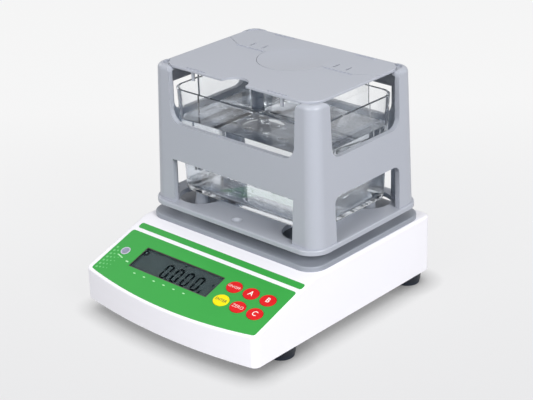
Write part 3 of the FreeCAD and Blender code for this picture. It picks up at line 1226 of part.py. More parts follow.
def panel_ribbon():
    """The flat lead from the panel board down and back to the main board's wide header."""
    plug = header_top(PANEL_HEADER)
    u = KEY_U[0] + RIBBON_FROM_KEY
    depth = PANEL_BOARD_DROP + BOARD_T
    y_top = CORNER_Y + u * math.cos(SLOPE) + depth * math.sin(SLOPE)
    z_top = PANEL_FRONT_Z + u * math.sin(SLOPE) - depth * math.cos(SLOPE)
    x, t = plug.x - RIBBON_W / 2, RIBBON_T
    level = plug.z + RIBBON_OVER
    outline = [V(x, y_top, z_top), V(x, y_top + t, z_top + t * math.tan(SLOPE)), V(x, y_top + t, level + t),
               V(x, plug.y + t / 2, level + t), V(x, plug.y + t / 2, plug.z), V(x, plug.y - t / 2, plug.z),
               V(x, plug.y - t / 2, level), V(x, y_top, level)]
    return polygon(outline, V(RIBBON_W, 0, 0))


def case_screws():
    """Four screws that pull the two halves of the case together."""
    face, tip = CASE_Z + HEAD_SUNK, INSIDE_Z + CASE_SCREW_REACH
    return Part.makeCompound([screw_up(x, y, face, tip) for x, y in CASE_SCREWS])


def stand_screws():
    """Four screws from under the deck into the stand."""
    face = DECK_Z - CASE_WALL - SCREW_HEAD_T
    return Part.makeCompound([screw_up(x, y, face, DECK_Z + STAND_SCREW_REACH) for x, y in STAND_SCREWS])


def board_screws():
    """Screws of the two boards, and of the panel board, which hangs from its pillars."""
    top = BOARD_TOP + SCREW_HEAD_T
    tip = INSIDE_Z + BOARD_POST_FLOOR + SCREW_TIP_ROOM
    screws = [screw_down(x, y, top, tip) for x, y in BOARD_HOLES]
    low = -PANEL_BOARD_DROP - BOARD_T - SCREW_HEAD_T
    screws += [on_panel(screw_up(0, 0, low, -PANEL_BOARD_DROP + PILLAR_REACH), x, u) for x, u in PILLARS]
    return Part.makeCompound(screws)


def plate_screws():
    top = PLATE_Z + PLATE_T + SCREW_HEAD_T
    return Part.makeCompound([screw_down(x, y, top, INSIDE_Z + PLATE_TIP_UP) for x, y in PLATE_HOLES])


def cell_screws():
    """Two screws up through the plate and the block into the cell's fixed end."""
    low = PLATE_Z - SCREW_HEAD_T
    return Part.makeCompound([screw_up(0, y, low, CELL_Z + CELL_SCREW_REACH) for y in FIXED_SCREWS])


def carrier_screws():
    """Two screws down through the carrier into the cell's free end."""
    top = ARM_Z + CARRIER_ARM_T + SCREW_HEAD_T
    return Part.makeCompound([screw_down(0, y, top, CELL_TOP - CELL_SCREW_REACH) for y in FREE_SCREWS])


def floor_screws():
    """Four flush studs that hold the frame's floor on the carrier's disc."""
    low, high = DISC_Z + STUD_ENDS_IN, HOOP_Z - STUD_ENDS_IN
    return Part.makeCompound([rod(x, y, low, high, SCREW_R) for x, y in DISC_STUDS])


# ---------------------------------------------------------------- build
NODES = {
    "lower_case": lower_case,
    "upper_case": upper_case,
    "panel_label": panel_label,
    "title_strip": title_strip,
    "lcd_window": lcd_window,
    "lcd_module": lcd_module,
    "panel_board": panel_board,
    "key_switches": key_switches,
    "vial_cup": vial_cup,
    "vial_lens": vial_lens,
    "main_board": lambda: board(-1),
    "main_board_parts": main_board_parts,
    "power_board": lambda: board(1),
    "power_board_parts": power_board_parts,
    "data_port": data_port,
    "power_jack": power_jack,
    "base_plate": base_plate,
    "cell_block": cell_block,
    "load_cell": load_cell,
    "overload_stop": overload_stop,
    "carrier": carrier,
    "tank_stand": tank_stand,
    "water_tank": water_tank,
    "frame_floor": frame_floor,
    "frame_hoop": frame_hoop,
    "front_lid": front_lid,
    "rear_board": rear_board,
    "hanger_left": lambda: hanger(-1),
    "hanger_right": lambda: hanger(1),
    "basket_tray": basket_tray,
    "foot_inserts": foot_inserts,
    "cell_lead": cell_lead,
    "panel_ribbon": panel_ribbon,
    "case_screws": case_screws,
    "stand_screws": stand_screws,
    "board_screws": board_screws,
    "plate_screws": plate_screws,
    "cell_screws": cell_screws,
    "carrier_screws": carrier_screws,
    "floor_screws": floor_screws,
}
for key_name in KEYS:
    NODES[key_name] = lambda name=key_name: key(name)
for foot in FEET:
    NODES["foot_pad_" + foot] = lambda name=foot: foot_pad(name)
    NODES["foot_wheel_" + foot] = lambda name=foot: foot_wheel(name)


def save(name, shape):
    shape.exportStep(os.path.join("parts", name + ".step"))
    state = "valid" if shape.isValid() else "NOT VALID"
    print(f"{name:24s} {len(shape.Solids):2d} solids {shape.Volume:10.1f} mm3 {state}")


os.makedirs("parts", exist_ok=True)
for node_name, make in NODES.items():
    save(node_name, make())
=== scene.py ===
import json
import math

import bmesh
import bpy
from mathutils import Matrix, Vector

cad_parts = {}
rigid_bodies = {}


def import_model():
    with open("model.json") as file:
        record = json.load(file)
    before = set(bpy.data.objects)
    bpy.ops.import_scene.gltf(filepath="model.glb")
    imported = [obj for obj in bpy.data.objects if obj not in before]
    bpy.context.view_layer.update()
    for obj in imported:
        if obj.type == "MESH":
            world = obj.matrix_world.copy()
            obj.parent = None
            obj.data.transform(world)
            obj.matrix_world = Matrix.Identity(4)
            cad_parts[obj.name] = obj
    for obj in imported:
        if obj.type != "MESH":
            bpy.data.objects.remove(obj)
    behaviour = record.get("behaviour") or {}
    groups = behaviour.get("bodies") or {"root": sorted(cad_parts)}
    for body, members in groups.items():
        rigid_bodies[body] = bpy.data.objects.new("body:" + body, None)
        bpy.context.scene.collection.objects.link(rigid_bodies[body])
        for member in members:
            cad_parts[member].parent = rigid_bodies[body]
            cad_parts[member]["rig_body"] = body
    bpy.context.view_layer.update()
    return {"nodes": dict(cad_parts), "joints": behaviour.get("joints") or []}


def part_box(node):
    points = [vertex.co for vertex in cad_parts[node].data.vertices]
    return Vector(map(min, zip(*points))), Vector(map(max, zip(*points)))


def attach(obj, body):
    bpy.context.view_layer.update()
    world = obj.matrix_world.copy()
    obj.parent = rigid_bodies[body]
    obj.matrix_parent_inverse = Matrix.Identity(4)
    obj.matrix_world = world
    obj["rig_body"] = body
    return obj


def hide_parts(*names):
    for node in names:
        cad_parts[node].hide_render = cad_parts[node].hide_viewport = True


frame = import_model()

MM = 0.001
ACROSS = Vector((1, 0, 0))
BACKWARDS = Vector((0, 1, 0))

# ---------------------------------------------------------------- what the frame says
JOINTS = {joint["name"]: joint for joint in frame["joints"]}
OUT = -Vector(JOINTS["press_a"]["axis"]).normalized()
SLOPE_UP = OUT.cross(ACROSS)
PANEL = Matrix((ACROSS, SLOPE_UP, OUT)).transposed().to_4x4()
KEYS = ("key_on_off", "key_a", "key_b", "key_enter", "key_zero", "key_c")
FEET = ("front_left", "front_right", "rear_left", "rear_right")


def reach(node, direction):
    """Least and greatest distance of a node's points along a direction."""
    distances = [vertex.co.dot(direction) for vertex in frame["nodes"][node].data.vertices]
    return min(distances), max(distances)


def middle(pair):
    return (pair[0] + pair[1]) / 2


# ---------------------------------------------------------------- camera
SENSOR = 36.0                     # this and the lens in mm
CAMERA_LENS = 102.06
CAMERA_AZIMUTH = math.radians(42.79)
CAMERA_HEIGHT = math.radians(24.18)
CAMERA_ROLL = math.radians(-1.76)
CAMERA_DISTANCE = 1.25609
CLIP_NEAR, CLIP_FAR = 0.05, 30
TARGET_BEFORE_TANK = 22.02 * MM   # from the tank's middle towards the front
CAMERA_TARGET = Vector((-0.67 * MM, middle(reach("water_tank", BACKWARDS)) - TARGET_BEFORE_TANK, 82.85 * MM))


def make_camera():
    """A camera in front of the keypad's right-hand corner, looking down a little."""
    back = Vector((math.sin(CAMERA_AZIMUTH) * math.cos(CAMERA_HEIGHT),
                   -math.cos(CAMERA_AZIMUTH) * math.cos(CAMERA_HEIGHT),
                   math.sin(CAMERA_HEIGHT)))
    level = Vector((math.cos(CAMERA_AZIMUTH), math.sin(CAMERA_AZIMUTH), 0))
    above = back.cross(level)
    right = level * math.cos(CAMERA_ROLL) + above * math.sin(CAMERA_ROLL)
    turned = Matrix((right, back.cross(right), back)).transposed().to_4x4()
    lens = bpy.data.cameras.new("camera")
    lens.sensor_width = SENSOR
    lens.lens = CAMERA_LENS
    lens.clip_start, lens.clip_end = CLIP_NEAR, CLIP_FAR
    camera = bpy.data.objects.new("camera", lens)
    camera.matrix_world = Matrix.Translation(CAMERA_TARGET + back * CAMERA_DISTANCE) @ turned
    bpy.context.scene.collection.objects.link(camera)
    bpy.context.scene.camera = camera


make_camera()


# ---------------------------------------------------------------- materials
def linear(code, alpha=1.0):
    """An sRGB hex colour as the linear values that a shader takes."""
    parts = [int(code[i:i + 2], 16) / 255 for i in (0, 2, 4)]
    return [c / 12.92 if c <= 0.04045 else ((c + 0.055) / 1.055) ** 2.4 for c in parts] + [alpha]


def add(tree, kind, inputs=None, **settings):
    """Adds a node with its settings; its inputs are values or other nodes' sockets."""
    made = tree.nodes.new(kind)
    for name, value in settings.items():
        setattr(made, name, value)
    for name, value in (inputs or {}).items():
        if isinstance(value, bpy.types.NodeSocket):
            tree.links.new(value, made.inputs[name])
        else:
            made.inputs[name].default_value = value
    return made


GRAIN_DETAIL = 3.0
PATCH_DETAIL = 2.0


def surface(name, colour, rough, grain=0.0, relief=0.0, uneven=0.0, shade=None, patch=20.0,
            stretch=(1, 1, 1), lets_through=None, **shader):
    """A finish: a grain, its relief in mm, an uneven gloss, and a second shade in patches of so many mm.

    A clear one lets the lamps' light through, tinted lets_through, so what stands in it is lit.
    """
    made = bpy.data.materials.new(name)
    made.use_nodes = True
    tree = made.node_tree
    tree.nodes.clear()
    body = add(tree, "ShaderNodeBsdfPrincipled", {"Base Color": linear(colour), "Roughness": rough})
    for socket, value in shader.items():
        body.inputs[socket.replace("_", " ")].default_value = value
    place = add(tree, "ShaderNodeTexCoord").outputs["Object"]
    if stretch != (1, 1, 1):
        place = add(tree, "ShaderNodeMapping", {"Vector": place, "Scale": stretch}).outputs["Vector"]
    if grain:
        fine = add(tree, "ShaderNodeTexNoise", {"Vector": place, "Scale": 1 / (grain * MM),
                                                 "Detail": GRAIN_DETAIL})
        if relief:
            bump = add(tree, "ShaderNodeBump", {"Strength": 1.0, "Distance": relief * MM,
                                                "Height": fine.outputs["Fac"]})
            tree.links.new(bump.outputs["Normal"], body.inputs["Normal"])
        if uneven:
            gloss = add(tree, "ShaderNodeMapRange", {"Value": fine.outputs["Fac"], "To Min": rough - uneven,
                                                     "To Max": rough + uneven})
            tree.links.new(gloss.outputs["Result"], body.inputs["Roughness"])
    if shade:
        cloud = add(tree, "ShaderNodeTexNoise", {"Vector": place, "Scale": 1 / (patch * MM),
                                                  "Detail": PATCH_DETAIL})
        tint = add(tree, "ShaderNodeMix", {"Factor": cloud.outputs["Fac"]}, data_type="RGBA")
        for socket in tint.inputs:
            if socket.type == "RGBA" and socket.name in ("A", "B"):
                socket.default_value = linear(colour if socket.name == "A" else shade)
        for socket in tint.outputs:
            if socket.type == "RGBA":
                tree.links.new(socket, body.inputs["Base Color"])
    whole = body.outputs["BSDF"]
    if lets_through:
        path = add(tree, "ShaderNodeLightPath")
        clear = add(tree, "ShaderNodeBsdfTransparent", {"Color": linear(lets_through)})
        mixed = add(tree, "ShaderNodeMixShader", {"Fac": path.outputs["Is Shadow Ray"]})
        tree.links.new(whole, mixed.inputs[1])
        tree.links.new(clear.outputs["BSDF"], mixed.inputs[2])
        whole = mixed.outputs["Shader"]
    add(tree, "ShaderNodeOutputMaterial", {"Surface": whole})
    return made


# Real grains of 0.1 to 0.2 mm are drawn at 0.3 to 0.6 mm, as coarse as they need to be to show.
# Injection-moulded ABS from a spark-eroded mould: an even satin with a grain you feel more than see
abs_white = surface("moulded_abs_white", "F7F6FC", 0.42, grain=0.5, relief=0.004, uneven=0.04,
                    shade="F5F4FA", patch=60)
# The same plastic in cool grey, from a finer mould, so its long edges catch soft lights
abs_grey = surface("moulded_abs_grey", "ACB0BA", 0.36, grain=0.45, relief=0.004, uneven=0.04,
                   shade="AAAEB8", patch=50)
# The stand's grey is painted darker than the frame's: painted shade for the shadow that the frame floor
# casts on it
stand_grey_painted_shade = surface("moulded_abs_grey_painted_darker", "8F949E", 0.4, grain=0.45, relief=0.004, uneven=0.04,
                    shade="8C919B", patch=50)
# Cast acrylic, polished: clear, with hard-edged reflections and dark edges
acrylic = surface("cast_acrylic_clear", "FBFCFD", 0.01, grain=3.0, uneven=0.008, lets_through="CFD4D8",
                  Transmission_Weight=1.0, IOR=1.49)
# Water: clear and smooth
water = surface("water", "FAFBFC", 0.0, lets_through="E4E8EC", Transmission_Weight=1.0, IOR=1.333)
# Air bubbles that cling under water: their rims mirror, their middles are clear
air = surface("air_bubble", "FFFFFF", 0.0, lets_through="FFFFFF", Transmission_Weight=1.0, IOR=0.75)
# Screen-printed polyester film: a fine matt coat over an even colour
film_green = surface("screen_printed_polyester_green", "37A044", 0.38, grain=0.35, relief=0.003, uneven=0.05,
                     shade="359C42", patch=25, Specular_IOR_Level=0.25)
# Screen inks: flat and dull, and the same all over
ink_white = surface("screen_ink_white", "F4F8F2", 0.45, grain=0.3, uneven=0.05)
ink_pale_green = surface("screen_ink_pale_green", "62C06C", 0.4, grain=0.3, uneven=0.05)
ink_mint = surface("screen_ink_mint", "B4EDB6", 0.4, grain=0.3, uneven=0.05)
ink_dark = surface("screen_ink_dark_green", "1F4A26", 0.45, grain=0.3, uneven=0.05)
ink_border = surface("screen_ink_brown_black", "3A2630", 0.4, grain=0.3, uneven=0.05)
# Glossy moulded ABS, coloured through: clear reds and yellows with a soft shine
key_red = surface("moulded_abs_red", "D81217", 0.3, grain=0.4, relief=0.003, uneven=0.05,
                  Specular_IOR_Level=0.25)
key_yellow = surface("moulded_abs_yellow", "F6E204", 0.3, grain=0.4, relief=0.003, uneven=0.05,
                     Specular_IOR_Level=0.25)
# Reflective twisted-nematic display: dark grey-green with a faint cell grain
lcd_glass = surface("liquid_crystal_glass", "232C2D", 0.45, grain=0.6, uneven=0.04, shade="262F31", patch=18,
                    Specular_IOR_Level=0.1)
lcd_ink = surface("liquid_crystal_segment", "05080B", 0.5, grain=0.5, uneven=0.05, Specular_IOR_Level=0.0)
# Polycarbonate pane with an anti-glare coat, which takes most of its reflection away
polycarbonate = surface("coated_polycarbonate_clear", "FAFCFC", 0.006, grain=2.0, uneven=0.004,
                        lets_through="F4F6F6", Transmission_Weight=1.0, IOR=1.08)
# Spirit in a glass vial: a round window with a slight lilac cast
spirit = surface("dyed_spirit", "AEB0C6", 0.05, grain=2.0, uneven=0.02, lets_through="C8CAE0",
                 Transmission_Weight=0.4, IOR=1.36)
vial_ring = surface("moulded_acetal_lilac", "C3C2D2", 0.3, grain=0.4, relief=0.003, uneven=0.05)
# Nitrile rubber, dull and slightly blotchy, and moulded nylon, a little shinier
rubber = surface("nitrile_rubber_black", "131B28", 0.62, grain=0.5, relief=0.01, uneven=0.06,
                 shade="192231", patch=4)
nylon = surface("moulded_nylon_black", "0E1521", 0.4, grain=0.4, relief=0.006, uneven=0.06)
# Zinc-plated steel: a cool grey with an uneven shine
steel = surface("zinc_plated_steel", "B9BCBE", 0.32, grain=0.8, uneven=0.08, Metallic=1.0)
# Milled aluminium: faint cutter lines one way
aluminium = surface("milled_aluminium", "C6C8CC", 0.34, grain=0.5, relief=0.004, uneven=0.07,
                    stretch=(1, 8, 1), Metallic=1.0)
# Nickel plate and turned brass: warm, and smoother than the steel
nickel = surface("nickel_plated_steel", "C9C6BE", 0.24, grain=0.6, uneven=0.06, Metallic=1.0)
brass = surface("turned_brass", "C9A24E", 0.3, grain=0.4, uneven=0.06, Metallic=1.0)
# Glass-epoxy board under solder mask, with the weave just felt; moulded epoxy parts and PVC leads on it
solder_mask = surface("solder_mask_green", "1D5B37", 0.35, grain=1.2, relief=0.01, uneven=0.06,
                      shade="1A5332", patch=3)
epoxy = surface("moulded_epoxy_black", "1B1C1E", 0.5, grain=0.3, relief=0.006, uneven=0.05)
sheath = surface("pvc_sheath_grey", "7A7C80", 0.5, grain=0.5, relief=0.005, uneven=0.05)


# ---------------------------------------------------------------- pieces
def mesh_object(name, mesh, material, body):
    """A finished piece: its place is in its mesh, and it moves with a body."""
    piece = bpy.data.objects.new(name, mesh)
    bpy.context.scene.collection.objects.link(piece)
    mesh.materials.clear()
    mesh.materials.append(material)
    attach(piece, body)
    return piece


def body_of(node):
    return frame["nodes"][node]["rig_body"]


def plain_mesh(carrier):
    """The mesh that a carrier's modifiers or outlines end in; the carrier itself goes."""
    bpy.context.scene.collection.objects.link(carrier)
    done = bpy.data.meshes.new_from_object(carrier.evaluated_get(bpy.context.evaluated_depsgraph_get()))
    bpy.data.objects.remove(carrier)
    return done


SHARP = math.radians(34)
SAME_POINT = 2e-6                 # metres
NO_LENGTH = 1e-7
FLAT_FACES_LEAD = 80              # how much a large face sets the shading at its edges


def smoothed(name, source):
    """A copy of a node's mesh with its triangles joined, and soft wherever faces meet gently."""
    mesh = bpy.data.meshes.new(name)
    mesh.from_pydata([v.co for v in source.vertices], [], [list(p.vertices) for p in source.polygons])
    shape = bmesh.new()
    shape.from_mesh(mesh)
    bmesh.ops.remove_doubles(shape, verts=shape.verts, dist=SAME_POINT)
    bmesh.ops.dissolve_degenerate(shape, edges=shape.edges, dist=NO_LENGTH)
    for face in shape.faces:
        face.smooth = True
    for edge in shape.edges:
        edge.smooth = len(edge.link_faces) == 2 and edge.calc_face_angle() < SHARP
    shape.to_mesh(mesh)
    shape.free()
    carrier = bpy.data.objects.new(name, mesh)
    weighted = carrier.modifiers.new("faces", "WEIGHTED_NORMAL")
    weighted.keep_sharp = True
    weighted.weight = FLAT_FACES_LEAD
    return plain_mesh(carrier)


def shell(node, material):
    """A node's outer surface, finished, in place of its loose triangles."""
    piece = mesh_object(node + "_finished", smoothed(node + "_finished", frame["nodes"][node].data),
                        material, body_of(node))
    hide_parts(node)


def paint(node, material):
    """Gives a node that is kept as it is a better finish."""
    for held in frame["nodes"][node].material_slots:
        held.material = material


SHELLS = {
    "lower_case": (abs_white, "case_white"),
    "upper_case": (abs_white, "case_white"),
    "panel_label": (film_green, "label_green"),
    "title_strip": (film_green, "label_green"),
    "lcd_window": (polycarbonate, "window_clear"),
    "vial_cup": (vial_ring, "case_white"),
    "vial_lens": (spirit, "spirit"),
    "tank_stand": (stand_grey_painted_shade, "frame_grey"),
    "frame_floor": (abs_grey, "frame_grey"),
    "frame_hoop": (abs_grey, "frame_grey"),
    "front_lid": (abs_grey, "frame_grey"),
    "rear_board": (abs_grey, "frame_grey"),
    "water_tank": (acrylic, "clear_acrylic"),
    "hanger_left": (acrylic, "clear_acrylic"),
    "hanger_right": (acrylic, "clear_acrylic"),
    "basket_tray": (acrylic, "clear_acrylic"),
    "data_port": (nickel, "socket_metal"),
    "power_jack": (epoxy, "part_black"),
    "carrier": (aluminium, "cell_aluminium"),
    "case_screws": (steel, "steel_zinc"),
}
for name in KEYS:
    SHELLS[name] = (key_yellow, "key_yellow") if name == "key_enter" else (key_red, "key_red")
for name in FEET:
    SHELLS["foot_pad_" + name] = (rubber, "foot_rubber")
    SHELLS["foot_wheel_" + name] = (nylon, "foot_black")

INSIDE = (
    (lcd_glass, ("lcd_module",)),
    (solder_mask, ("panel_board", "main_board", "power_board")),
    (epoxy, ("key_switches", "main_board_parts", "power_board_parts")),
    (steel, ("base_plate", "overload_stop", "stand_screws", "board_screws", "plate_screws", "cell_screws",
             "carrier_screws", "floor_screws")),
    (aluminium, ("cell_block", "load_cell")),
    (brass, ("foot_inserts",)),
    (sheath, ("cell_lead", "panel_ribbon")),
)
for name, (finish, slot) in SHELLS.items():
    shell(name, finish)
for finish, nodes in INSIDE:
    for name in nodes:
        paint(name, finish)


# ---------------------------------------------------------------- print on the panel
PRINT_T = 0.03 * MM
FILM_TOP = reach("panel_label", OUT)[1]


def outline_prism(outline, low, high):
    """A flat shape between two heights, from its outline's points, as a closed mesh."""
    count = len(outline)
    points = [(x, y, low) for x, y in outline] + [(x, y, high) for x, y in outline]
    sides = [[i, (i + 1) % count, count + (i + 1) % count, count + i] for i in range(count)]
    return points, [list(range(count))[::-1], list(range(count, 2 * count))] + sides


def joined(name, parts):
    """One mesh from several lists of points and faces, with its faces turned outwards."""
    points, faces = [], []
    for part_points, part_faces in parts:
        faces += [[i + len(points) for i in face] for face in part_faces]
        points += part_points
    mesh = bpy.data.meshes.new(name)
    mesh.from_pydata(points, [], faces)
    shape = bmesh.new()
    shape.from_mesh(mesh)
    bmesh.ops.recalc_face_normals(shape, faces=shape.faces)
    shape.to_mesh(mesh)
    shape.free()
    return mesh


def on_panel(name, outlines, low, high, material, others=()):
    """A piece drawn in the panel's plane, across and up the slope, between two heights out of it.

    Each outline becomes a flat prism; others are further lists of points and faces.
    """
    mesh = joined(name, [outline_prism(outline, low, high) for outline in outlines] + list(others))
    mesh.transform(PANEL)
    mesh_object(name, mesh, material, "base")


def lettering(name, text, height, x, u, low, material, body, weight):
    """Lettering on the panel, centred at x, u and standing on low; weight thickens its strokes."""
    curve = bpy.data.curves.new(name, "FONT")
    curve.body = text
    curve.size = height
    curve.align_x = "CENTER"
    curve.align_y = "CENTER"
    curve.offset = weight * height
    curve.extrude = PRINT_T / 2
    curve.resolution_u = 4
    mesh = plain_mesh(bpy.data.objects.new(name, curve))
    mesh.transform(PANEL @ Matrix.Translation((x, u, low + PRINT_T / 2)))
    mesh_object(name, mesh, material, body)


LEGENDS = {                       # the word, its height and how much heavier its strokes are
    "key_on_off": ("ON/OFF", 3.5 * MM, -0.01),
    "key_a": ("A", 6.8 * MM, 0.005),
    "key_b": ("B", 6.8 * MM, 0.005),
    "key_enter": ("ENTER", 3.9 * MM, 0.01),
    "key_zero": ("ZERO", 4.5 * MM, -0.015),
    "key_c": ("C", 6.8 * MM, 0.005),
}
for name, (word, height, weight) in LEGENDS.items():
    ink = ink_dark if name == "key_enter" else ink_white
    lettering(name + "_legend", word, height, middle(reach(name, ACROSS)), middle(reach(name, SLOPE_UP)),
              reach(name, OUT)[1], ink, body_of(name), weight)


# ---------------------------------------------------------------- display
def bar(x0, u0, x1, u1, half):
    """A segment's outline: a bar with pointed ends."""
    if abs(x1 - x0) > abs(u1 - u0):
        return [(x0, u0), (x0 + half, u0 + half), (x1 - half, u1 + half), (x1, u1), (x1 - half, u1 - half),
                (x0 + half, u0 - half)]
    return [(x0, u0), (x0 + half, u0 + half), (x1 + half, u1 - half), (x1, u1), (x1 - half, u1 - half),
            (x0 - half, u0 + half)]


DIGIT_W = 5.6 * MM                # between the middles of the upright segments
DIGIT_H = 14.4 * MM
DIGIT_PITCH = 11.6 * MM
SEGMENT_HALF = 0.95 * MM          # half a segment's width
SEGMENT_GAP = 0.4 * MM            # from a segment's tip to the corner
ZERO_SEGMENTS = ("top", "top_left", "top_right", "low_left", "low_right", "low")


def zero_digit(x, u):
    """The outlines of a nought, its lower left corner at x, u."""
    w, h, g = DIGIT_W, DIGIT_H, SEGMENT_GAP
    half = h / 2
    places = {
        "low": (g, 0, w - g, 0),
        "top": (g, h, w - g, h),
        "low_left": (0, g, 0, half - g),
        "low_right": (w, g, w, half - g),
        "top_left": (0, half + g, 0, h - g),
        "top_right": (w, half + g, w, h - g),
    }
    return [[(x + px, u + pu) for px, pu in bar(*places[s], SEGMENT_HALF)] for s in ZERO_SEGMENTS]


def round_points(x, u, r, steps):
    turn = 2 * math.pi / steps
    return [(x + r * math.cos(turn * i), u + r * math.sin(turn * i)) for i in range(steps)]


def plate(x0, u0, x1, u1):
    """A rectangle's outline between two corners."""
    return [(x0, u0), (x1, u0), (x1, u1), (x0, u1)]


def ring(x, u, outer, inner, low, high, steps=28):
    """A flat ring, as points and faces."""
    points, faces = [], []
    for r, z in ((outer, low), (outer, high), (inner, high), (inner, low)):
        points += [(px, pu, z) for px, pu in round_points(x, u, r, steps)]
    for k in range(4):
        for i in range(steps):
            j = (i + 1) % steps
            faces.append([k * steps + i, k * steps + j, (k + 1) % 4 * steps + j, (k + 1) % 4 * steps + i])
    return points, faces


GLASS_TOP = reach("lcd_module", OUT)[1]
PANE_X = reach("lcd_window", ACROSS)
PANE_U = reach("lcd_window", SLOPE_UP)
PANE_TOP = reach("lcd_window", OUT)[1]
INK_GAP = 0.05 * MM               # keeps the segments clear of the glass they lie on
INK_T = 0.3 * MM
DIGITS = 4
FIRST_DIGIT = 34.2 * MM           # from the pane's left edge
DIGIT_LOW = 4.2 * MM              # from its lower edge
# These are measured from the first digit's lower left corner
POINT_X, POINT_U, POINT_R = DIGIT_W + 2.6 * MM, -0.2 * MM, 1.0 * MM
SPOT_X, SPOT_U, SPOT_R = 50.7 * MM, 11.6 * MM, 0.9 * MM
DASH = (12.7 * MM, 18.6 * MM, 14.9 * MM, 19.5 * MM)
UNIT_X, UNIT_U, UNIT_HEIGHT, UNIT_WEIGHT = 44.7 * MM, 2.0 * MM, 6.0 * MM, 0.03
# The mark that lights when the balance is at rest, from the pane's upper left corner
REST_MARK_X, REST_MARK_U = 4.0 * MM, -6.9 * MM
REST_MARK_R = 2.8 * MM
REST_MARK_LINE = 1.3 * MM
PANE_LIP = 1.6 * MM               # pane under the label, all round
BORDER = 0.9 * MM


def border(x0, x1, u0, u1, wide):
    """Four bars round a rectangle, just inside it."""
    return [plate(x0, u0, x1, u0 + wide), plate(x0, u1 - wide, x1, u1),
            plate(x0, u0 + wide, x0 + wide, u1 - wide), plate(x1 - wide, u0 + wide, x1, u1 - wide)]


def display():
    """Noughts with a point, a unit and a rest mark on the glass, and the printed border of the pane."""
    x0, u0 = PANE_X[0] + FIRST_DIGIT, PANE_U[0] + DIGIT_LOW
    low, high = GLASS_TOP + INK_GAP, GLASS_TOP + INK_GAP + INK_T
    outlines = []
    for i in range(DIGITS):
        outlines += zero_digit(x0 + i * DIGIT_PITCH, u0)
    outlines.append(round_points(x0 + POINT_X, u0 + POINT_U, POINT_R, 20))
    outlines.append(round_points(x0 + SPOT_X, u0 + SPOT_U, SPOT_R, 20))
    outlines.append(plate(x0 + DASH[0], u0 + DASH[1], x0 + DASH[2], u0 + DASH[3]))
    mark = ring(PANE_X[0] + REST_MARK_X, PANE_U[1] + REST_MARK_U, REST_MARK_R,
                REST_MARK_R - REST_MARK_LINE, low, high)
    on_panel("display_segments", outlines, low, high, lcd_ink, [mark])
    lettering("display_unit", "g", UNIT_HEIGHT, x0 + UNIT_X, u0 + UNIT_U, low, lcd_ink,
              "base", UNIT_WEIGHT)
    edges = border(PANE_X[0] + PANE_LIP, PANE_X[1] - PANE_LIP, PANE_U[0] + PANE_LIP, PANE_U[1] - PANE_LIP,
                   BORDER)
    on_panel("display_border", edges, PANE_TOP, PANE_TOP + PRINT_T, ink_border)


display()


# ---------------------------------------------------------------- what repeats: printed marks and bubbles
def grown(name, tree, inputs):
    """The plain mesh that a node tree makes; its inputs are set by their identifiers."""
    carrier = bpy.data.objects.new(name, bpy.data.meshes.new(name + "_carrier"))
    modifier = carrier.modifiers.new("grow", "NODES")
    modifier.node_group = tree
    for item in tree.interface.items_tree:
        if item.in_out == "INPUT" and item.name in inputs:
            modifier[item.identifier] = inputs[item.name]
    return plain_mesh(carrier)


def new_tree(name, inputs):
    """An empty geometry tree with a geometry input, named inputs with their defaults, and one output."""
    tree = bpy.data.node_groups.new(name, "GeometryNodeTree")
    tree.interface.new_socket("Geometry", in_out="INPUT", socket_type="NodeSocketGeometry")
    for label, value in inputs.items():
        kind = {int: "NodeSocketInt", float: "NodeSocketFloat", tuple: "NodeSocketVector",
                bpy.types.Material: "NodeSocketMaterial"}[type(value)]
        socket = tree.interface.new_socket(label, in_out="INPUT", socket_type=kind)
        socket.default_value = value
    tree.interface.new_socket("Geometry", in_out="OUTPUT", socket_type="NodeSocketGeometry")
    return tree, add(tree, "NodeGroupInput").outputs


def ended(tree, instances, material):
    """Ends a tree in real meshes of one material."""
    real = add(tree, "GeometryNodeRealizeInstances", {"Geometry": instances})
    painted = add(tree, "GeometryNodeSetMaterial", {"Geometry": real.outputs["Geometry"],
                                                    "Material": material})
    add(tree, "NodeGroupOutput", {"Geometry": painted.outputs["Geometry"]})
    return tree


ROUND = (1.0, 1.0, 1.0)
OVAL = (1.5, 0.62, 1.0)


def dots_tree(material):
    """Flat round dots in a grid; Stretch makes them oval."""
    tree, given = new_tree("rows_of_dots", {"Columns": 5, "Rows": 1, "Width": 0.01, "Depth": 0.0,
                                            "Radius": 0.001, "Thickness": 0.001, "Sides": 12,
                                            "Stretch": ROUND, "Material": material})
    grid = add(tree, "GeometryNodeMeshGrid", {"Size X": given["Width"], "Size Y": given["Depth"],
                                              "Vertices X": given["Columns"], "Vertices Y": given["Rows"]})
    dot = add(tree, "GeometryNodeMeshCylinder", {"Vertices": given["Sides"], "Radius": given["Radius"],
                                                 "Depth": given["Thickness"]})
    placed = add(tree, "GeometryNodeInstanceOnPoints", {"Points": grid.outputs["Mesh"],
                                                        "Instance": dot.outputs["Mesh"],
                                                        "Scale": given["Stretch"]})
    return ended(tree, placed.outputs["Instances"], given["Material"])


DOTS = dots_tree(ink_mint)


def dots_on_label(name, columns, rows, width, depth, radius, sides, stretch, ink, x, u):
    """A grid of printed dots with its middle at x, u."""
    mesh = grown(name, DOTS, {"Columns": columns, "Rows": rows, "Width": width, "Depth": depth,
                              "Radius": radius, "Thickness": PRINT_T, "Sides": sides, "Stretch": stretch,
                              "Material": ink})
    mesh.transform(PANEL @ Matrix.Translation((x, u, FILM_TOP + PRINT_T / 2)))
    mesh_object(name, mesh, ink, "base")


# The row of marks: how many, how long it is, and its middle from the pane's lower left corner
MARKS, MARKS_LONG, MARKS_X, MARKS_U = 6, 56.4 * MM, 41.7 * MM, -3.0 * MM
MARKS_R = 0.9 * MM
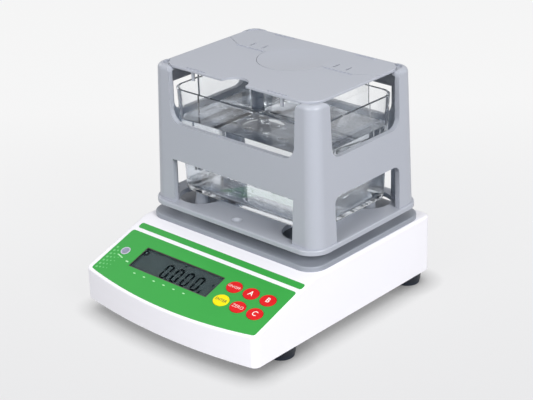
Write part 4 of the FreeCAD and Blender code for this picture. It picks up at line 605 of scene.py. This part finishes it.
# Bars beside the pane, in mm from the same corner: across, up, half a bar's width, half its height
SIDE_MARKS = ((-3.1, 5.0, 1.5, 0.6), (-16.2, 8.3, 1.2, 0.45), (-13.8, 7.6, 1.2, 0.45),
              (-11.4, 6.9, 1.2, 0.45))
# Columns of dots, in mm. From the left one to the right one they get shorter, lower and finer
COLUMNS = 4
COLUMN_X, COLUMN_X_STEP = 3.4, 3.3
COLUMN_U, COLUMN_U_STEP = 2.0, -1.2
COLUMN_LONG, COLUMN_LONG_STEP = 26.0, -4.0
COLUMN_R, COLUMN_R_STEP = 1.15, -0.22
COLUMN_DOTS = 7


def printed_marks():
    """Small marks under the display and left of it, and a spray of pale dots in the label's left corner."""
    x0, u0 = PANE_X[0], PANE_U[0]
    dots_on_label("label_marks", MARKS, 1, MARKS_LONG, 0.0, MARKS_R, 10, OVAL, ink_mint,
                  x0 + MARKS_X, u0 + MARKS_U)
    bars = [plate(x0 + (x - w) * MM, u0 + (u - h) * MM, x0 + (x + w) * MM, u0 + (u + h) * MM)
            for x, u, w, h in SIDE_MARKS]
    on_panel("label_side_marks", bars, FILM_TOP, FILM_TOP + PRINT_T, ink_mint)
    left = reach("panel_label", ACROSS)[0]
    for i in range(COLUMNS):
        dots_on_label("label_dots_" + str(i), 1, COLUMN_DOTS - i, 0.0,
                      (COLUMN_LONG + COLUMN_LONG_STEP * i) * MM, (COLUMN_R + COLUMN_R_STEP * i) * MM, 20,
                      ROUND, ink_pale_green, left + (COLUMN_X + COLUMN_X_STEP * i) * MM,
                      u0 + (COLUMN_U + COLUMN_U_STEP * i) * MM)


printed_marks()


def bubbles_tree(material):
    """Round bubbles of a few sizes, strewn over a flat patch by a fixed seed."""
    tree, given = new_tree("strewn_bubbles", {"Width": 0.1, "Depth": 0.05, "Per area": 1000.0, "Seed": 3,
                                              "Radius": 0.001, "Least": 0.5, "Material": material})
    patch = add(tree, "GeometryNodeMeshGrid", {"Size X": given["Width"], "Size Y": given["Depth"]})
    spots = add(tree, "GeometryNodeDistributePointsOnFaces", {"Mesh": patch.outputs["Mesh"],
                                                              "Density": given["Per area"],
                                                              "Seed": given["Seed"]})
    ball = add(tree, "GeometryNodeMeshIcoSphere", {"Radius": given["Radius"], "Subdivisions": 3})
    size = add(tree, "FunctionNodeRandomValue", {2: given["Least"], 3: 1.0, "Seed": given["Seed"]})
    placed = add(tree, "GeometryNodeInstanceOnPoints", {"Points": spots.outputs["Points"],
                                                        "Instance": ball.outputs["Mesh"],
                                                        "Scale": size.outputs[1]})
    return ended(tree, placed.outputs["Instances"], given["Material"])


# ---------------------------------------------------------------- what the tank holds
TANK_WALL = 2.5 * MM
TANK_FLOOR = 4.0 * MM
BUBBLE_R = 0.9 * MM               # the largest
BUBBLES_PER_AREA = 2600.0         # in a square metre
BUBBLE_MARGIN = 3.0 * MM          # none nearer than this to the tray's outline


def cling_bubbles():
    """A few bubbles on the tank's floor, under the tray."""
    low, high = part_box("basket_tray")
    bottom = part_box("water_tank")[0].z + TANK_FLOOR
    mesh = grown("tank_bubbles", bubbles_tree(air),
                 {"Width": high.x - low.x - 2 * BUBBLE_MARGIN, "Depth": high.y - low.y - 2 * BUBBLE_MARGIN,
                  "Radius": BUBBLE_R, "Per area": BUBBLES_PER_AREA, "Material": air})
    mesh.transform(Matrix.Translation(((low.x + high.x) / 2, (low.y + high.y) / 2, bottom + BUBBLE_R)))
    for face in mesh.polygons:
        face.use_smooth = True
    mesh_object("tank_bubbles", mesh, air, body_of("water_tank"))


WATER_DEPTH = 60.9 * MM
WATER_LAP = 0.15 * MM             # how far the water's skin runs into the tank's wall
WATER_CORNER = 11.0 * MM
WATER_FOOT = 1.5 * MM             # the bevel along its lower edge
# The surface creeps up the wall: heights over the level, with how far in from the wall they are
CREEP = ((1.0 * MM, 0), (0.3 * MM, 0.7 * MM), (0, 2.0 * MM))
NEAR_FLOOR = 5 * MM               # the tank's points under this give its narrow end
CORNER_STEPS = 8


def rounded_ring(half_x, half_y, r, centre_y, z):
    """The points of a round-cornered rectangle at one height."""
    points = []
    for k, (sx, sy) in enumerate(((1, -1), (1, 1), (-1, 1), (-1, -1))):
        for i in range(CORNER_STEPS + 1):
            a = math.pi / 2 * (k - 1 + i / CORNER_STEPS)
            points.append((sx * (half_x - r) + r * math.cos(a),
                           centre_y + sy * (half_y - r) + r * math.sin(a), z))
    return points


def stack(rings):
    """Rings of equal length joined one to the next, with both ends closed."""
    n = len(rings[0])
    points = [p for one in rings for p in one]
    faces = [list(range(n))[::-1], [n * (len(rings) - 1) + i for i in range(n)]]
    for k in range(len(rings) - 1):
        faces += [[k * n + i, k * n + (i + 1) % n, (k + 1) * n + (i + 1) % n, (k + 1) * n + i]
                  for i in range(n)]
    return points, faces


def fill_tank():
    """Water between the leaning walls, with a skin that creeps up them a little."""
    low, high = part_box("water_tank")
    tank = frame["nodes"]["water_tank"].data
    floor_x = max(v.co.x for v in tank.vertices if v.co.z < low.z + NEAR_FLOOR)
    lean = (high.x - floor_x) / (high.z - low.z)
    bottom = low.z + TANK_FLOOR - WATER_LAP
    level = low.z + TANK_FLOOR + WATER_DEPTH
    heights = [(bottom, WATER_FOOT), (bottom + WATER_FOOT, 0)]
    heights += [(level + over, inset) for over, inset in CREEP]
    rings = []
    for z, inset in heights:
        into = TANK_WALL - WATER_LAP + lean * (high.z - z) + inset
        rings.append(rounded_ring(high.x - into, (high.y - low.y) / 2 - into, WATER_CORNER,
                                  (low.y + high.y) / 2, z))
    mesh_object("water_fill", joined("water_fill", [stack(rings)]), water, "base")


cling_bubbles()
fill_tank()


# ---------------------------------------------------------------- stage and light
FLOOR_HALF = 6.0
PAPER = "B4B4B6"
PAPER_NEAR = "E5E5E7"
PAPER_FAR = "FFFFFF"
PAPER_PLAIN = 0.88                # how much of the paper is seen at its plain colour
FADE_NEAR = -0.55                 # where the paper turns from near to far, in metres from the middle
FADE_FAR = 0.45
PAINTED_SHADOW_REACH = 0.02                    # how far from a thing the paper's painted contact shadow reaches, in metres
SKY = "F6F6F8"
SKY_LIGHT = 0.12                  # soft light from all round
AIM = Vector((0, 0, 0.1))
SOFTBOXES = (                     # name, place, size and power, in metres and watts
    ("top_box", (0.3, 0.3, 1.6), (1.0, 1.0), 6),
    ("left_box", (-1.7, 0.2, 0.8), (0.8, 0.6), 4),
    ("front_box", (0.1, -1.65, 1.1), (0.9, 0.8), 21.5),
    ("right_box", (1.6, -0.35, 0.95), (0.8, 0.8), 27.5),
)
ALL_BOUNCES = 48                  # light passes many clear walls, and turns often inside them
MIRRORED_BOUNCES = 40


def looked_at(tree):
    """One for what is seen, straight, mirrored or through glass, and nought for what only lights."""
    path = add(tree, "ShaderNodeLightPath")
    seen = add(tree, "ShaderNodeMath", {0: path.outputs["Is Camera Ray"], 1: path.outputs["Is Glossy Ray"]},
               operation="MAXIMUM")
    seen = add(tree, "ShaderNodeMath", {0: seen.outputs[0], 1: path.outputs["Is Transmission Ray"]},
               operation="MAXIMUM")
    return seen.outputs[0]


def stage():
    """A wide sheet of pale paper, paler towards the back, with a contact shadow painted into it near the
    object.
    """
    mesh = bpy.data.meshes.new("floor")
    corners = plate(-FLOOR_HALF, -FLOOR_HALF, FLOOR_HALF, FLOOR_HALF)
    mesh.from_pydata([(x, y, 0) for x, y in corners], [], [[0, 1, 2, 3]])
    floor = bpy.data.objects.new("floor", mesh)
    bpy.context.scene.collection.objects.link(floor)
    finish = bpy.data.materials.new("studio_paper")
    finish.use_nodes = True
    tree = finish.node_tree
    tree.nodes.clear()
    place = add(tree, "ShaderNodeTexCoord").outputs["Object"]
    away = (-math.sin(CAMERA_AZIMUTH), math.cos(CAMERA_AZIMUTH), 0)
    along = add(tree, "ShaderNodeVectorMath", {0: place, 1: away}, operation="DOT_PRODUCT")
    fade = add(tree, "ShaderNodeMapRange", {"Value": along.outputs["Value"], "From Min": FADE_NEAR,
                                            "From Max": FADE_FAR})
    tint = add(tree, "ShaderNodeMix", {0: fade.outputs["Result"], 6: linear(PAPER_NEAR),
                                       7: linear(PAPER_FAR)}, data_type="RGBA")
    lit = add(tree, "ShaderNodeBsdfDiffuse", {"Color": linear(PAPER)})
    # Painted shadow: occlusion darkens the paper's seen colour near the object
    painted_contact_shadow = add(tree, "ShaderNodeAmbientOcclusion", {"Color": tint.outputs[2], "Distance": PAINTED_SHADOW_REACH},
                 samples=8)
    plain = add(tree, "ShaderNodeEmission", {"Color": painted_contact_shadow.outputs["Color"]})
    share = add(tree, "ShaderNodeMath", {0: looked_at(tree), 1: PAPER_PLAIN}, operation="MULTIPLY")
    both = add(tree, "ShaderNodeMixShader", {0: share.outputs[0], 1: lit.outputs["BSDF"],
                                             2: plain.outputs["Emission"]})
    add(tree, "ShaderNodeOutputMaterial", {"Surface": both.outputs["Shader"]})
    mesh.materials.append(finish)


def softbox(name, place, size, power):
    """A rectangular lamp that faces the object."""
    lamp = bpy.data.lights.new(name, "AREA")
    lamp.shape = "RECTANGLE"
    lamp.size, lamp.size_y = size
    lamp.energy = power
    holder = bpy.data.objects.new(name, lamp)
    holder.location = place
    holder.rotation_euler = (AIM - Vector(place)).to_track_quat("-Z", "Y").to_euler()
    bpy.context.scene.collection.objects.link(holder)


def lights():
    """Pale walls all round that shine only weakly, and four softboxes."""
    scene = bpy.context.scene
    scene.view_settings.view_transform = "Standard"
    scene.cycles.max_bounces = ALL_BOUNCES
    scene.cycles.glossy_bounces = MIRRORED_BOUNCES
    scene.cycles.transmission_bounces = MIRRORED_BOUNCES
    world = bpy.data.worlds.new("studio")
    scene.world = world
    world.use_nodes = True
    tree = world.node_tree
    tree.nodes.clear()
    sky = add(tree, "ShaderNodeBackground", {"Color": linear(SKY), "Strength": SKY_LIGHT})
    walls = add(tree, "ShaderNodeBackground", {"Color": linear(SKY), "Strength": 1.0})
    both = add(tree, "ShaderNodeMixShader", {0: looked_at(tree), 1: sky.outputs["Background"],
                                             2: walls.outputs["Background"]})
    add(tree, "ShaderNodeOutputWorld", {"Surface": both.outputs["Shader"]})
    for box in SOFTBOXES:
        softbox(*box)


stage()
lights()
